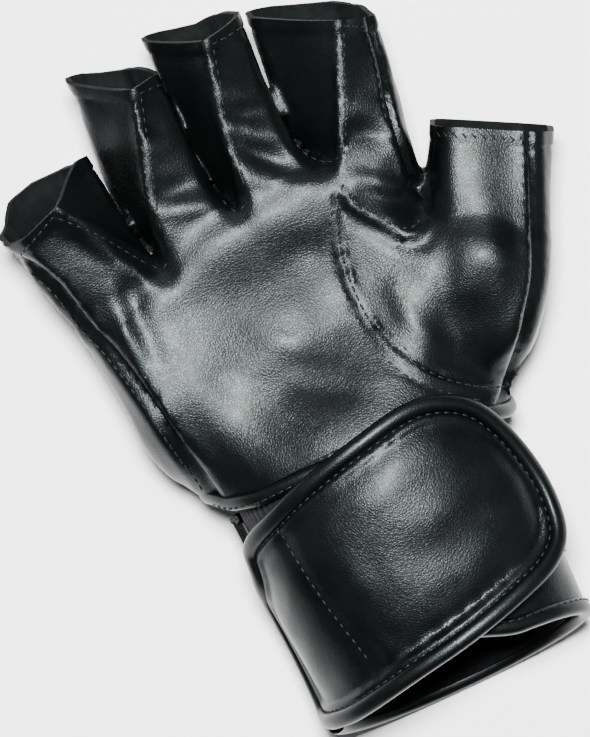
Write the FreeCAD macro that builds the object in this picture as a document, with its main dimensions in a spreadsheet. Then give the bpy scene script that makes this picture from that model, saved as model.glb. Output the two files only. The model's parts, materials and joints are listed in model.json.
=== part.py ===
# Open-finger grappling glove for the right hand, with a hook-and-loop wrist flap.
# Millimetres. The glove lies on its padded back: +Z is out of the palm, +Y runs from the
# cuff to the fingertips, +X points to the thumb side.  The origin is under the middle of
# the glove, on the surface that it lies on.
import FreeCAD, Part
import os
import sys
import math
from FreeCAD import Vector, Placement, Rotation

os.makedirs("parts", exist_ok=True)
doc = FreeCAD.newDocument("glove")

# ---------------------------------------------------------------- driving dimensions
P = {
    # sheet materials
    "leather_t": 1.4, "lining_t": 0.9, "foam_back": 11.5, "foam_knuckle": 13.5,
    "gap": 0.06,
    # hand shell, heights above the resting surface
    "palm_top": 50.0, "back_bottom": 0.0,
    # where the assembly sits in its frame
    "shift_x": -0.6803, "shift_y": -3.9768, "shift_z": 0.0,
    # fingers: half widths and half depths at the root and at the opening, pad thickness
    "index_wa": 15.6, "index_wb": 17.0, "index_da": 17.0, "index_db": 15.0,
    "middle_wa": 13.1, "middle_wb": 14.6, "middle_da": 17.0, "middle_db": 14.5,
    "ring_wa": 12.9, "ring_wb": 12.6, "ring_da": 17.0, "ring_db": 14.0,
    "pinky_wa": 14.2, "pinky_wb": 17.5, "pinky_da": 16.0, "pinky_db": 14.5,
    "thumb_wa": 18.6, "thumb_wb": 18.6, "thumb_da": 18.5, "thumb_db": 15.5,
    "finger_pad_t": 8.0, "thumb_pad_t": 4.0, "hem_w": 2.6, "hem_t": 2.4,
    # cuff
    "cuff_len": 72.0, "bind_w": 6.0, "flap_leather": 1.3, "flap_foam": 1.6, "flap_lining": 1.0,
    "hook_t": 0.95, "loop_t": 0.95,
}
sheet = doc.addObject("Spreadsheet::Sheet", "Params")
for i, (k, v) in enumerate(P.items()):
    sheet.set("A%d" % (i + 1), k)
    sheet.set("B%d" % (i + 1), str(v))
    sheet.setAlias("B%d" % (i + 1), k)
doc.recompute()

NODES = []


class Q:
    """A size as a sum of sheet cells: its number, and the expression that binds it."""

    def __init__(self, const=0.0, **cells):
        self.const, self.cells = const, cells

    @property
    def num(self):
        return self.const + sum(P[k] * c for k, c in self.cells.items())

    @property
    def expr(self):
        text = "%.5f mm" % self.const
        for k, c in self.cells.items():
            text += " + (%.5f) * Params.%s * 1 mm" % (c, k)
        return text


def body(name):
    b = doc.addObject("PartDesign::Body", "B_" + name)
    b.Label = name
    b.setExpression("Placement.Base.x", "Params.shift_x * 1 mm")
    b.setExpression("Placement.Base.y", "Params.shift_y * 1 mm")
    b.setExpression("Placement.Base.z", "Params.shift_z * 1 mm")
    NODES.append((name, b))
    return b


def plane(b, role):
    return [o for o in b.Origin.OriginFeatures if o.Role == role][0]


def sketch(b, tag, role, offset):
    s = b.newObject("Sketcher::SketchObject", "S_%s_%s" % (b.Label, tag))
    s.AttachmentSupport = [(plane(b, role), "")]
    s.MapMode = "FlatFace"
    s.AttachmentOffset = offset
    return s


def poly(s, pts):
    """A closed polygon through pts, without constraints."""
    n = len(pts)
    for i in range(n):
        a, c = pts[i], pts[(i + 1) % n]
        s.addGeometry(Part.LineSegment(Vector(a[0], a[1], 0), Vector(c[0], c[1], 0)), False)


def bound_poly(s, pts):
    """A closed polygon whose corners are Q pairs, fully constrained and bound to the sheet."""
    import Sketcher
    n = len(pts)
    poly(s, [(a.num, c.num) for a, c in pts])
    for i in range(n):
        s.addConstraint(Sketcher.Constraint("Coincident", i, 2, (i + 1) % n, 1))
    for i, (a, c) in enumerate(pts):
        k = s.addConstraint(Sketcher.Constraint("DistanceX", -1, 1, i, 1, a.num))
        s.setExpression("Constraints[%d]" % k, a.expr)
        k = s.addConstraint(Sketcher.Constraint("DistanceY", -1, 1, i, 1, c.num))
        s.setExpression("Constraints[%d]" % k, c.expr)


def pad(b, s, length, reverse=False, midplane=False):
    p = b.newObject("PartDesign::Pad", "Pad_%s_%d" % (b.Label, len(b.Group)))
    p.Profile = s
    p.Length = length.num
    p.setExpression("Length", length.expr)
    p.Reversed = reverse
    p.Midplane = midplane
    s.Visibility = False
    return p


def slab(name, pts, z0, thick):
    """A flat panel: outline pts in XY, from height z0 up by thick."""
    b = body(name)
    s = sketch(b, "outline", "XY_Plane", Placement(Vector(0, 0, z0.num), Rotation()))
    s.setExpression("AttachmentOffset.Base.z", z0.expr)
    poly(s, pts)
    pad(b, s, thick)
    return b


def inset(pts, d):
    """A polygon's outline moved inward by d (counter-clockwise or clockwise input)."""
    area = sum(a[0] * c[1] - c[0] * a[1] for a, c in zip(pts, pts[1:] + pts[:1]))
    sign = 1.0 if area > 0 else -1.0
    out = []
    n = len(pts)
    for i in range(n):
        p0, p1, p2 = pts[i - 1], pts[i], pts[(i + 1) % n]
        e1 = Vector(p1[0] - p0[0], p1[1] - p0[1], 0)
        e2 = Vector(p2[0] - p1[0], p2[1] - p1[1], 0)
        e1.normalize()
        e2.normalize()
        n1 = Vector(-e1.y, e1.x, 0) * sign
        n2 = Vector(-e2.y, e2.x, 0) * sign
        m = n1 + n2
        m.normalize()
        k = d / max(0.35, m.dot(n1))
        out.append((p1[0] + m.x * k, p1[1] + m.y * k))
    return out


def ribbon(line, t, side):
    """A strip of thickness t along an open polyline, on its side (+1 left, -1 right)."""
    off = []
    n = len(line)
    for i in range(n):
        a = line[max(0, i - 1)]
        c = line[min(n - 1, i + 1)]
        e = Vector(c[0] - a[0], c[1] - a[1], 0)
        e.normalize()
        off.append((line[i][0] - e.y * t * side, line[i][1] + e.x * t * side))
    return list(line) + off[::-1]


# ---------------------------------------------------------------- hand shell
# Outline of the hand between the wrist and the roots of the fingers, counter-clockwise.
THENAR_CURVE = [(20.3, 47.1), (14.0, 41.0), (9.8, 32.0), (6.6, 22.0), (5.6, 12.0), (6.6, 0.0),
                (11.5, -12.0), (20.0, -20.0), (29.0, -24.3)]
THENAR_TOP = [(39.0, 30.6), (34.0, 27.0), (27.0, 31.0), (22.0, 38.5)]
HAND = [(-51.0, -24.3), (29.0, -24.3), (39.0, -31.0), (46.0, -29.5), (52.6, -24.5), (60.7, -13.5),
        (68.5, 0.5), (70.8, 7.0), (39.6, 26.0), (39.4, 31.0), (42.0, 43.0), (45.2, 57.0),
        (13.5, 57.0), (-15.5, 57.0), (-43.4, 56.0), (-44.0, 49.6), (-72.4, 35.2),
        (-71.4, 18.0), (-71.0, 0.6), (-68.0, -10.0), (-64.0, -17.0)]
THENAR = [(29.0, -24.3), (39.0, -31.0), (46.0, -29.5), (52.6, -24.5), (60.7, -13.5), (68.5, 0.5),
          (70.8, 7.0), (39.6, 26.0), (39.3, 30.0)] + THENAR_TOP[1:] + THENAR_CURVE[::1]
THENAR = THENAR[:-1]
PALM = [(-51.0, -24.3), (28.6, -24.3)] + [(x - 0.3, y) for x, y in THENAR_CURVE[-2::-1]] + \
       [(22.3, 38.9), (27.2, 31.4), (34.1, 27.5), (39.0, 31.2), (42.0, 43.0), (45.2, 57.0),
        (13.5, 57.0), (-15.5, 57.0), (-43.4, 56.0), (-44.0, 49.6), (-72.4, 35.2),
        (-71.4, 18.0), (-71.0, 0.6), (-68.0, -10.0), (-64.0, -17.0)]
palm_z = Q(0, palm_top=1, leather_t=-1)
slab("palm_panel", PALM, palm_z, Q(leather_t=1))
slab("thenar_panel", THENAR, palm_z, Q(leather_t=1))
slab("palm_lining", inset(HAND, 2.2), Q(0, palm_top=1, leather_t=-1, lining_t=-1, gap=-1), Q(lining_t=1))
slab("back_panel", HAND, Q(back_bottom=1), Q(leather_t=1))
BACK_IN = inset(HAND, 1.9)
split = 27.0
# metacarpal foam sits below the knuckle roll, and the knuckle roll is the thicker one
slab("back_foam", [(-50.5, -22.4), (28.4, -22.4), (38.6, -28.6), (45.2, -27.2), (51.3, -22.8),
                   (59.0, -12.4), (66.8, 1.2), (68.6, 6.2), (38.0, 24.6), (37.4, 26.0),
                   (-70.2, 26.0), (-69.5, 18.0), (-69.1, 0.8), (-66.2, -9.2), (-62.5, -15.6)],
     Q(0, back_bottom=1, leather_t=1, gap=1), Q(foam_back=1))
slab("knuckle_foam", [(37.4, 27.2), (37.6, 31.2), (40.2, 43.4), (42.9, 55.1), (-41.6, 54.3),
                      (-42.3, 48.1), (-70.4, 33.9), (-70.0, 27.2)],
     Q(0, back_bottom=1, leather_t=1, gap=1), Q(foam_knuckle=1))
slab("back_lining", BACK_IN, Q(0.4, back_bottom=1, leather_t=1, foam_knuckle=1), Q(lining_t=1))
wall_z = Q(0, back_bottom=1, leather_t=1, gap=1)
wall_h = Q(0, palm_top=1, leather_t=-2, gap=-2)
ULNAR = [(-72.4, 35.2), (-71.4, 18.0), (-71.0, 0.6), (-68.0, -10.0), (-64.0, -17.0),
         (-56.5, -21.2)]
slab("ulnar_side_panel", ribbon(ULNAR, 1.4, 1), wall_z, wall_h)
RADIAL = [(39.9, 30.4), (42.0, 43.0), (45.2, 57.0)]
slab("radial_side_panel", ribbon(RADIAL, 1.4, 1), wall_z, wall_h)
THENAR_SIDE = [(32.6, -26.8), (39.0, -31.0), (46.0, -29.5), (52.6, -24.5), (60.7, -13.5), (68.5, 0.5), (70.4, 5.8)]
slab("thenar_side_panel", ribbon(THENAR_SIDE, 1.4, 1), wall_z, wall_h)

# double row of thread along the thenar seam, on the panels' upper face
b = body("thenar_stitching")
s = sketch(b, "rows", "XY_Plane", Placement(Vector(0, 0, P["palm_top"] + 0.02), Rotation()))
s.setExpression("AttachmentOffset.Base.z", Q(0.02, palm_top=1).expr)
poly(s, ribbon([(x + 1.2, y) for x, y in THENAR_CURVE], 0.6, -1))
poly(s, ribbon([(x - 2.2, y) for x, y in THENAR_CURVE[:-1]], 0.6, -1))
pad(b, s, Q(0.5))

# ---------------------------------------------------------------- fingers and thumb
# name: root centre (x, y, z), opening centre (x, y, z), turn of the opening about Z, its
# tilt up, turn of the root plane about Z.  Turns in degrees, clockwise from above positive.
FINGERS = {
    "index": dict(root=(30.0, 71.0, 33.5), tip=(35.2, 94.5, 38.5), turn=20.0, tilt=10.0, root_turn=0.0),
    "middle": dict(root=(-1.0, 71.0, 33.5), tip=(0.2, 104.5, 40.5), turn=6.0, tilt=12.0, root_turn=0.0),
    "ring": dict(root=(-29.8, 71.0, 33.5), tip=(-28.6, 101.5, 40.5), turn=14.0, tilt=12.0, root_turn=0.0),
    "pinky": dict(root=(-61.6, 56.3, 35.5), tip=(-65.2, 82.3, 44.0), turn=-22.0, tilt=26.0, root_turn=-27.0),
    "thumb": dict(root=(60.9, 28.2, 31.6), tip=(67.7, 40.0, 34.0), turn=30.0, tilt=7.0, root_turn=30.0),
}


def frames(f):
    """Attachment offsets of the root and opening planes on the body's XZ plane (its normal is -Y)."""
    r, t = f["root"], f["tip"]
    root = Placement(Vector(r[0], r[2], -r[1]), Rotation(Vector(0, 1, 0), -f["root_turn"]))
    turn = Rotation(Vector(0, 1, 0), -f["turn"])
    tip = Placement(Vector(t[0], t[2], -t[1]), turn.multiply(Rotation(Vector(1, 0, 0), f["tilt"])))
    return root, tip


def tube_plate(name, f, qa, qb):
    """A tapering plate from the root plane to the opening plane; qa and qb are its corners there."""
    b = body(name)
    fa, fb = frames(f)
    sa = sketch(b, "root", "XZ_Plane", fa)
    bound_poly(sa, qa)
    sb = sketch(b, "tip", "XZ_Plane", fb)
    bound_poly(sb, qb)
    lo = b.newObject("PartDesign::AdditiveLoft", "Loft_" + name)
    lo.Profile = sa
    lo.Sections = [sb]
    lo.Ruled = True
    return b


def rect(u0, u1, t0, t1):
    return [(u0, t0), (u1, t0), (u1, t1), (u0, t1)]


for name, f in FINGERS.items():
    padt = "thumb_pad_t" if name == "thumb" else "finger_pad_t"

    def two(make):
        return make(name + "_wa", name + "_da"), make(name + "_wb", name + "_db")

    qa, qb = two(lambda w, d: rect(Q(**{w: -1}), Q(**{w: 1}), Q(**{d: 1, "leather_t": -1}), Q(**{d: 1})))
    tube_plate(name + "_front", f, qa, qb)
    qa, qb = two(lambda w, d: rect(Q(**{w: -1}), Q(**{w: 1}), Q(**{d: -1}), Q(**{d: -1, "leather_t": 1})))
    tube_plate(name + "_back", f, qa, qb)
    qa, qb = two(lambda w, d: rect(Q(**{w: -1}), Q(**{w: -1, "leather_t": 1}),
                                   Q(**{d: -1, "leather_t": 1, "gap": 1}), Q(**{d: 1, "leather_t": -1, "gap": -1})))
    tube_plate(name + "_ulnar_wall", f, qa, qb)
    qa, qb = two(lambda w, d: rect(Q(**{w: 1, "leather_t": -1}), Q(**{w: 1}),
                                   Q(**{d: -1, "leather_t": 1, "gap": 1}), Q(**{d: 1, "leather_t": -1, "gap": -1})))
    tube_plate(name + "_radial_wall", f, qa, qb)
    qa, qb = two(lambda w, d: rect(Q(**{w: -1, "leather_t": 1, "gap": 3}), Q(**{w: 1, "leather_t": -1, "gap": -3}),
                                   Q(**{d: -1, "leather_t": 1, "gap": 1}), Q(**{d: -1, "leather_t": 1, padt: 1})))
    tube_plate(name + "_pad", f, qa, qb)
    # turned-in hem: a frame on the opening plane, pointing outward
    b = body(name + "_hem")
    fa, fb = frames(f)
    s = sketch(b, "hem", "XZ_Plane", fb)
    w, d = name + "_wb", name + "_db"
    bound_poly(s, rect(Q(**{w: -1}), Q(**{w: 1}), Q(**{d: -1}), Q(**{d: 1})))
    import Sketcher
    inner = rect(Q(**{w: -1, "hem_t": 1}), Q(**{w: 1, "hem_t": -1}), Q(**{d: -1, "hem_t": 1}), Q(**{d: 1, "hem_t": -1}))
    n0 = len(s.Geometry)
    poly(s, [(a.num, c.num) for a, c in inner])
    for i in range(4):
        s.addConstraint(Sketcher.Constraint("Coincident", n0 + i, 2, n0 + (i + 1) % 4, 1))
    for i, (a, c) in enumerate(inner):
        k = s.addConstraint(Sketcher.Constraint("DistanceX", -1, 1, n0 + i, 1, a.num))
        s.setExpression("Constraints[%d]" % k, a.expr)
        k = s.addConstraint(Sketcher.Constraint("DistanceY", -1, 1, n0 + i, 1, c.num))
        s.setExpression("Constraints[%d]" % k, c.expr)
    pad(b, s, Q(hem_w=1), reverse=True)

# ---------------------------------------------------------------- wrist
CX, CZ, CA, CB = -14.5, 30.8, 44.5, 30.0      # outer ellipse of the cuff
FX, FZ, FA, FB = -11.5, 31.8, 47.5, 35.0      # outer ellipse of the flap that lies over it
CUFF_TOP, CUFF_END = -31.6, -103.0


def ellipse_arc(cx, cz, a, bb, a0, a1):
    """An arc of an ellipse with its long axis along X, counter-clockwise from a0 to a1 degrees."""
    return Part.ArcOfEllipse(Part.Ellipse(Vector(cx, cz, 0), a, bb), math.radians(a0), math.radians(a1))


def at(cx, cz, a, bb, deg):
    return Vector(cx + a * math.cos(math.radians(deg)), cz + bb * math.sin(math.radians(deg)), 0)


def arc_band(name, c, d0, d1, a0, a1, y0, length):
    """A curved band round the wrist: between insets d0 (outer) and d1 (inner) of ellipse c."""
    b = body(name)
    s = sketch(b, "band", "XZ_Plane", Placement(Vector(0, 0, -y0), Rotation()))
    o = (c[0], c[1], c[2] - d0, c[3] - d0)
    i = (c[0], c[1], c[2] - d1, c[3] - d1)
    s.addGeometry(ellipse_arc(*o, a0, a1), False)
    s.addGeometry(ellipse_arc(*i, a0, a1), False)
    s.addGeometry(Part.LineSegment(at(*o, a0), at(*i, a0)), False)
    s.addGeometry(Part.LineSegment(at(*o, a1), at(*i, a1)), False)
    pad(b, s, length)
    return b


def ring(name, c, d0, d1, y0, length):
    b = body(name)
    s = sketch(b, "ring", "XZ_Plane", Placement(Vector(0, 0, -y0), Rotation()))
    for d in (d0, d1):
        s.addGeometry(Part.Ellipse(Vector(c[0], c[1], 0), c[2] - d, c[3] - d), False)
    pad(b, s, length)
    return b


def pocket(b, s):
    """Cuts everything the sketch covers, both ways, and makes sure that something was cut."""
    doc.recompute()
    before = b.Shape.Volume
    p = b.newObject("PartDesign::Pocket", "Pocket_%s_%d" % (b.Label, len(b.Group)))
    p.Profile = s
    p.Type = 1
    p.Midplane = True
    doc.recompute()
    if not b.Shape.Volume < before - 0.5:
        sys.exit("pocket of %s cut nothing" % b.Label)
    return p


CUFF = (CX, CZ, CA, CB)
FLAP = (FX, FZ, FA, FB)
BIND = (-14.5, 30.4, 44.6, 28.9)
ring("hand_binding", BIND, 0.0, 3.2, -24.6, Q(bind_w=1))
ring("wrist_elastic", CUFF, 5.1, 6.4, -25.2, Q(77.6))
ring("cuff_lining", CUFF, 6.5, 7.4, -25.2, Q(77.6))
arc_band("cuff_band", CUFF, 0.0, 1.4, -176.0, 62.0, CUFF_TOP, Q(0, cuff_len=1, bind_w=-1, gap=-2))
arc_band("cuff_foam", CUFF, 1.5, 5.0, -176.0, 62.0, CUFF_TOP, Q(0, cuff_len=1, bind_w=-1, gap=-2))
arc_band("cuff_binding", CUFF, -0.8, 5.0, -176.0, 62.0, CUFF_TOP - P["cuff_len"] + P["bind_w"], Q(bind_w=1))
arc_band("loop_patch", CUFF, -0.9, -0.03, 8.0, 60.0, -41.0, Q(46.0))

# outline of the flap from above: outer edge, and the inner edge of its binding
FLAP_OUT = [(-46.0, -33.6), (-33.0, -29.2), (-13.6, -25.0), (5.2, -22.4), (17.8, -24.7), (26.8, -32.0),
            (31.6, -42.0), (34.6, -54.0), (35.6, -65.0), (34.2, -77.0), (30.5, -84.5), (24.0, -88.8),
            (11.5, -92.9), (-7.9, -97.1), (-26.6, -99.9), (-45.6, -102.6)]
FLAP_IN = [(-46.0, -39.6), (-31.6, -35.3), (-13.0, -31.1), (4.6, -28.6), (14.6, -30.2), (22.0, -36.0),
           (26.0, -44.6), (28.6, -55.4), (29.5, -65.0), (28.3, -75.4), (25.6, -80.6), (20.6, -83.6),
           (9.8, -87.0), (-9.0, -91.2), (-27.4, -93.9), (-46.0, -96.6)]
LEFT_OUT = [(-75.0, -46.5), (-57.0, -39.6)]
ROOTX = -43.0     # the flap is sewn down along this line, and lifts from here on
TIPX = 2.0        # the flap's tip peels from this line on
G = 0.25


def clip(pts, x0, x1):
    """Cuts a polygon to x0 <= x <= x1."""
    for lim, sgn in ((x0, 1.0), (x1, -1.0)):
        out = []
        n = len(pts)
        for i in range(n):
            a, c = pts[i], pts[(i + 1) % n]
            ina, inc = sgn * (a[0] - lim) >= 0, sgn * (c[0] - lim) >= 0
            if ina:
                out.append(a)
            if ina != inc:
                t = (lim - a[0]) / (c[0] - a[0])
                out.append((lim, a[1] + t * (c[1] - a[1])))
        pts = out
    return pts


OUT_POLY = [(-75.0, -44.5), (-57.0, -39.6)] + FLAP_OUT[:] + [(-56.0, -103.0), (-75.0, -103.0)]
IN_POLY = [(-75.0, -50.5), (-57.0, -45.6)] + FLAP_IN[:] + [(-56.0, -97.0), (-75.0, -97.0)]


def flap_piece(name, d0, d1, a0, a1, outline, hole=None):
    """A layer of the flap: a curved band trimmed from above to outline, less hole."""
    b = arc_band(name, FLAP, d0, d1, a0, a1, -18.0, Q(90.0))
    s = sketch(b, "trim", "XY_Plane", Placement(Vector(0, 0, 31.0), Rotation()))
    poly(s, [(-90.0, 0.0), (60.0, 0.0), (60.0, -125.0), (-90.0, -125.0)])
    poly(s, outline)
    pocket(b, s)
    if hole is not None:
        s = sketch(b, "hole", "XY_Plane", Placement(Vector(0, 0, 31.0), Rotation()))
        poly(s, hole)
        pocket(b, s)
    return b


T1 = P["flap_leather"]
T2 = T1 + P["flap_foam"]
T3 = T2 + P["flap_lining"]
A0, A1 = 2.0, 174.0
CLR = 0.8         # clearance beside the sewn line
SPANS = {"flap_anchor": (-75.0, ROOTX - CLR, 120.0, A1), "flap_root": (ROOTX + CLR, TIPX - G, 60.0, 150.0),
         "flap_tip": (TIPX + G, 60.0, A0, 100.0)}
for part, (x0, x1, a0, a1) in SPANS.items():
    inn, out = clip(inset(IN_POLY, 0.1), x0, x1), clip(OUT_POLY, x0, x1)
    hole = clip(IN_POLY, x0 - 5.0, x1 + 5.0)
    if part == "flap_anchor":
        flap_piece(part + "_leather", 0.0, T2, a0, a1, inn)
    else:
        flap_piece(part + "_leather", 0.0, T1, a0, a1, inn)
        flap_piece(part + "_foam", T1 + 0.05, T2, a0, a1, inn)
        flap_piece(part + "_lining", T2 + 0.05, T3, a0, a1, inn)
    flap_piece(part + "_binding", -0.7, T3 + 0.2, a0, a1, out, hole)
flap_piece("flap_stitching", -0.45, -0.02, 120.0, 150.0,
           [(ROOTX - 2.4, -46.0), (ROOTX - 1.6, -46.0), (ROOTX - 1.6, -90.0), (ROOTX - 2.4, -90.0)])
HOOK = [(TIPX + 1.0, -38.0), (14.0, -37.0), (22.0, -42.0), (25.6, -52.0), (27.0, -65.0), (25.5, -75.0),
        (18.0, -80.0), (TIPX + 1.0, -83.0)]
flap_piece("hook_patch", T3 + 0.05, T3 + P["hook_t"], 10.0, 90.0, HOOK)

# ---------------------------------------------------------------- check and write
doc.recompute()
bad = [o.Name for o in doc.Objects if "Invalid" in o.State or "Error" in o.State]
if bad:
    sys.exit("failed objects: %s" % bad)
lo, hi = Vector(1e9, 1e9, 1e9), Vector(-1e9, -1e9, -1e9)
for name, b in NODES:
    shape = b.Shape
    if shape.isNull() or not shape.isValid() or not shape.Solids or shape.Volume <= 0:
        sys.exit("%s has no valid solid" % name)
    bb = shape.BoundBox
    lo = Vector(min(lo.x, bb.XMin), min(lo.y, bb.YMin), min(lo.z, bb.ZMin))
    hi = Vector(max(hi.x, bb.XMax), max(hi.y, bb.YMax), max(hi.z, bb.ZMax))
    shape.exportStep("parts/%s.step" % name)
    print("%-22s %8.1f mm3  %d solid(s)  x %.1f..%.1f y %.1f..%.1f z %.1f..%.1f" % (
        name, shape.Volume, len(shape.Solids), bb.XMin, bb.XMax, bb.YMin, bb.YMax, bb.ZMin, bb.ZMax))
print("nodes", len(NODES), "box", lo, hi, "centre", (lo + hi) * 0.5)
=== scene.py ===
# Looks of the grappling glove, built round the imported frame.
# Tables are in millimetres, in the drawing frame of the glove (before it is centred);
# "put" turns them into metres in the row frame, from where the frame's palm panel is.
import bpy
import json
import math
import time
import numpy as np
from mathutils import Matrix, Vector

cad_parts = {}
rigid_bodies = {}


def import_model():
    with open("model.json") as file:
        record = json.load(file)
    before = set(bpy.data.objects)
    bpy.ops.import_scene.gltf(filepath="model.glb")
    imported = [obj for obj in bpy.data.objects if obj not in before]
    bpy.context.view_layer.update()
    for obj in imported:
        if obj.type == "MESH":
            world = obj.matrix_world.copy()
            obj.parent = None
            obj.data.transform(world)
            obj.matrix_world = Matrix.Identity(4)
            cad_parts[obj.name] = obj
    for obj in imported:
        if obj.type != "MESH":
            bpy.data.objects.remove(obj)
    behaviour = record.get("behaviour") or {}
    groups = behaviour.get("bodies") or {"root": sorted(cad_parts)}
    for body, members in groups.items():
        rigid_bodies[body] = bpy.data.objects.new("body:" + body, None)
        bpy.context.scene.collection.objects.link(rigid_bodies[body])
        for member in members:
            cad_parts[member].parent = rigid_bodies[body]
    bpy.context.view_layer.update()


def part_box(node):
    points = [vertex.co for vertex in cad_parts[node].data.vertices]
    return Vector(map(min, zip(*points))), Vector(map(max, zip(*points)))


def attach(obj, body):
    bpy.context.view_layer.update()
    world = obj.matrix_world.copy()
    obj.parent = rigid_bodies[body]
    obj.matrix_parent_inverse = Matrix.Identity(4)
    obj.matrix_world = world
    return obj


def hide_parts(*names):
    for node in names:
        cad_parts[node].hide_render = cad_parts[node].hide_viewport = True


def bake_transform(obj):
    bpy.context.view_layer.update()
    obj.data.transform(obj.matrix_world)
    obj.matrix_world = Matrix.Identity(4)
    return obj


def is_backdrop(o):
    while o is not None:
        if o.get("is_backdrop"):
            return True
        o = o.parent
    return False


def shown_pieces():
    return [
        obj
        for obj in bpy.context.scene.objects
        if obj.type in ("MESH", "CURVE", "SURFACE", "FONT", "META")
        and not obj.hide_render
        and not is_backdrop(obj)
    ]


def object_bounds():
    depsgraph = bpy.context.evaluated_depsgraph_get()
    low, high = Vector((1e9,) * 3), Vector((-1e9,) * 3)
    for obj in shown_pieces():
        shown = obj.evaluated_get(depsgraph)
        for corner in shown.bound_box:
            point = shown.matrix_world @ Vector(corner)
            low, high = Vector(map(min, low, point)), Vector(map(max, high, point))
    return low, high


T0 = time.time()
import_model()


LO = np.array(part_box("palm_panel")[0]) * 1000.0
OFF = np.array([LO[0] + 72.4, LO[1] + 24.3, 0.0])


def put(p):
    """Drawing frame in mm to row frame in m."""
    return (np.asarray(p, float) + OFF) / 1000.0


def say(*a):
    print("[scene %.1fs]" % (time.time() - T0), *a)


# =====================================================================================
# small maths
# =====================================================================================
def unit(v):
    v = np.asarray(v, float)
    return v / np.maximum(np.linalg.norm(v, axis=-1, keepdims=True), 1e-12)


def smin(a, b, k):
    h = np.clip(0.5 + 0.5 * (b - a) / k, 0, 1)
    return b + (a - b) * h - k * h * (1 - h)


def smax(a, b, k):
    return -smin(-a, -b, k)


def sstep(a, b, x):
    t = np.clip((x - a) / (b - a), 0, 1)
    return t * t * (3 - 2 * t)


def sd_poly2(x, y, poly):
    """Signed distance to a polygon in 2D (negative inside)."""
    poly = np.asarray(poly, float)
    d = np.full(x.shape, 1e18)
    inside = np.zeros(x.shape, bool)
    n = len(poly)
    for i in range(n):
        a, b = poly[i], poly[(i + 1) % n]
        e = b - a
        vx, vy = x - a[0], y - a[1]
        t = np.clip((vx * e[0] + vy * e[1]) / (e @ e + 1e-12), 0, 1)
        d = np.minimum(d, (vx - e[0] * t) ** 2 + (vy - e[1] * t) ** 2)
        c = ((a[1] > y) != (b[1] > y)) & (x < (b[0] - a[0]) * (y - a[1]) / (b[1] - a[1] + 1e-12) + a[0])
        inside ^= c
    d = np.sqrt(d)
    return np.where(inside, -d, d)


def d_line2(x, y, line):
    """(distance, signed side distance, arc length at the nearest point) to an open polyline in 2D."""
    line = np.asarray(line, float)
    best = np.full(x.shape, 1e18)
    side = np.zeros(x.shape)
    along = np.zeros(x.shape)
    s0 = 0.0
    for a, b in zip(line[:-1], line[1:]):
        e = b - a
        L = math.hypot(*e)
        vx, vy = x - a[0], y - a[1]
        t = np.clip((vx * e[0] + vy * e[1]) / (L * L + 1e-12), 0, 1)
        d = (vx - e[0] * t) ** 2 + (vy - e[1] * t) ** 2
        c = (e[0] * vy - e[1] * vx) / L
        m = d < best
        best = np.where(m, d, best)
        side = np.where(m, c, side)
        along = np.where(m, s0 + t * L, along)
        s0 += L
    dist = np.sqrt(best)
    return dist, np.where(side >= 0, dist, -dist), along


def smooth_line(pts, n=80, closed=False, passes=2):
    """A smooth curve through points (Catmull-Rom), sampled evenly."""
    p = np.asarray(pts, float)
    m = len(p)
    out = []
    idx = range(m if closed else m - 1)
    for i in idx:
        if closed:
            a, b, c, d = p[(i - 1) % m], p[i], p[(i + 1) % m], p[(i + 2) % m]
        else:
            a, b, c, d = p[max(i - 1, 0)], p[i], p[i + 1], p[min(i + 2, m - 1)]
        for t in np.linspace(0, 1, 12, endpoint=False):
            out.append(0.5 * ((2 * b) + (-a + c) * t + (2 * a - 5 * b + 4 * c - d) * t * t + (-a + 3 * b - 3 * c + d) * t ** 3))
    if not closed:
        out.append(p[-1])
    q = np.array(out)
    if closed:
        q = np.vstack([q, q[:1]])
    L = np.concatenate([[0], np.cumsum(np.linalg.norm(np.diff(q, axis=0), axis=1))])
    at = np.linspace(0, L[-1], n + 1 if closed else n)
    r = np.stack([np.interp(at, L, q[:, k]) for k in range(q.shape[1])], axis=1)
    return r[:-1] if closed else r


def vnoise(P, scale, seed=0):
    """Smooth value noise in 3D, -1..1."""
    q = np.asarray(P, float) / scale + seed * 17.31
    i = np.floor(q).astype(np.int64)
    f = q - i
    f = f * f * (3 - 2 * f)

    def h(a, b, c):
        n = (a * 73856093) ^ (b * 19349663) ^ (c * 83492791) ^ (seed * 2654435761)
        n = (n ^ (n >> 13)) * 1274126177
        n = n ^ (n >> 16)
        return ((n & 0xFFFFF) / float(0xFFFFF)) * 2 - 1

    out = 0
    for dx in (0, 1):
        for dy in (0, 1):
            for dz in (0, 1):
                w = (f[:, 0] if dx else 1 - f[:, 0]) * (f[:, 1] if dy else 1 - f[:, 1]) * (f[:, 2] if dz else 1 - f[:, 2])
                out = out + w * h(i[:, 0] + dx, i[:, 1] + dy, i[:, 2] + dz)
    return out


# =====================================================================================
# the hand shell as a field: negative inside the leather's outer face
# =====================================================================================
def inset_poly(poly, d):
    """Convex polygon (counter-clockwise) moved inward by d."""
    p = np.asarray(poly, float)
    n = len(p)
    out = []
    for i in range(n):
        p0, p1, p2 = p[i - 1], p[i], p[(i + 1) % n]
        n1 = np.array([-(p1 - p0)[1], (p1 - p0)[0]])
        n2 = np.array([-(p2 - p1)[1], (p2 - p1)[0]])
        n1, n2 = n1 / np.linalg.norm(n1), n2 / np.linalg.norm(n2)
        m = n1 + n2
        m /= np.linalg.norm(m)
        out.append(p1 + m * d / max(0.3, m @ n1))
    return np.array(out)


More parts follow.
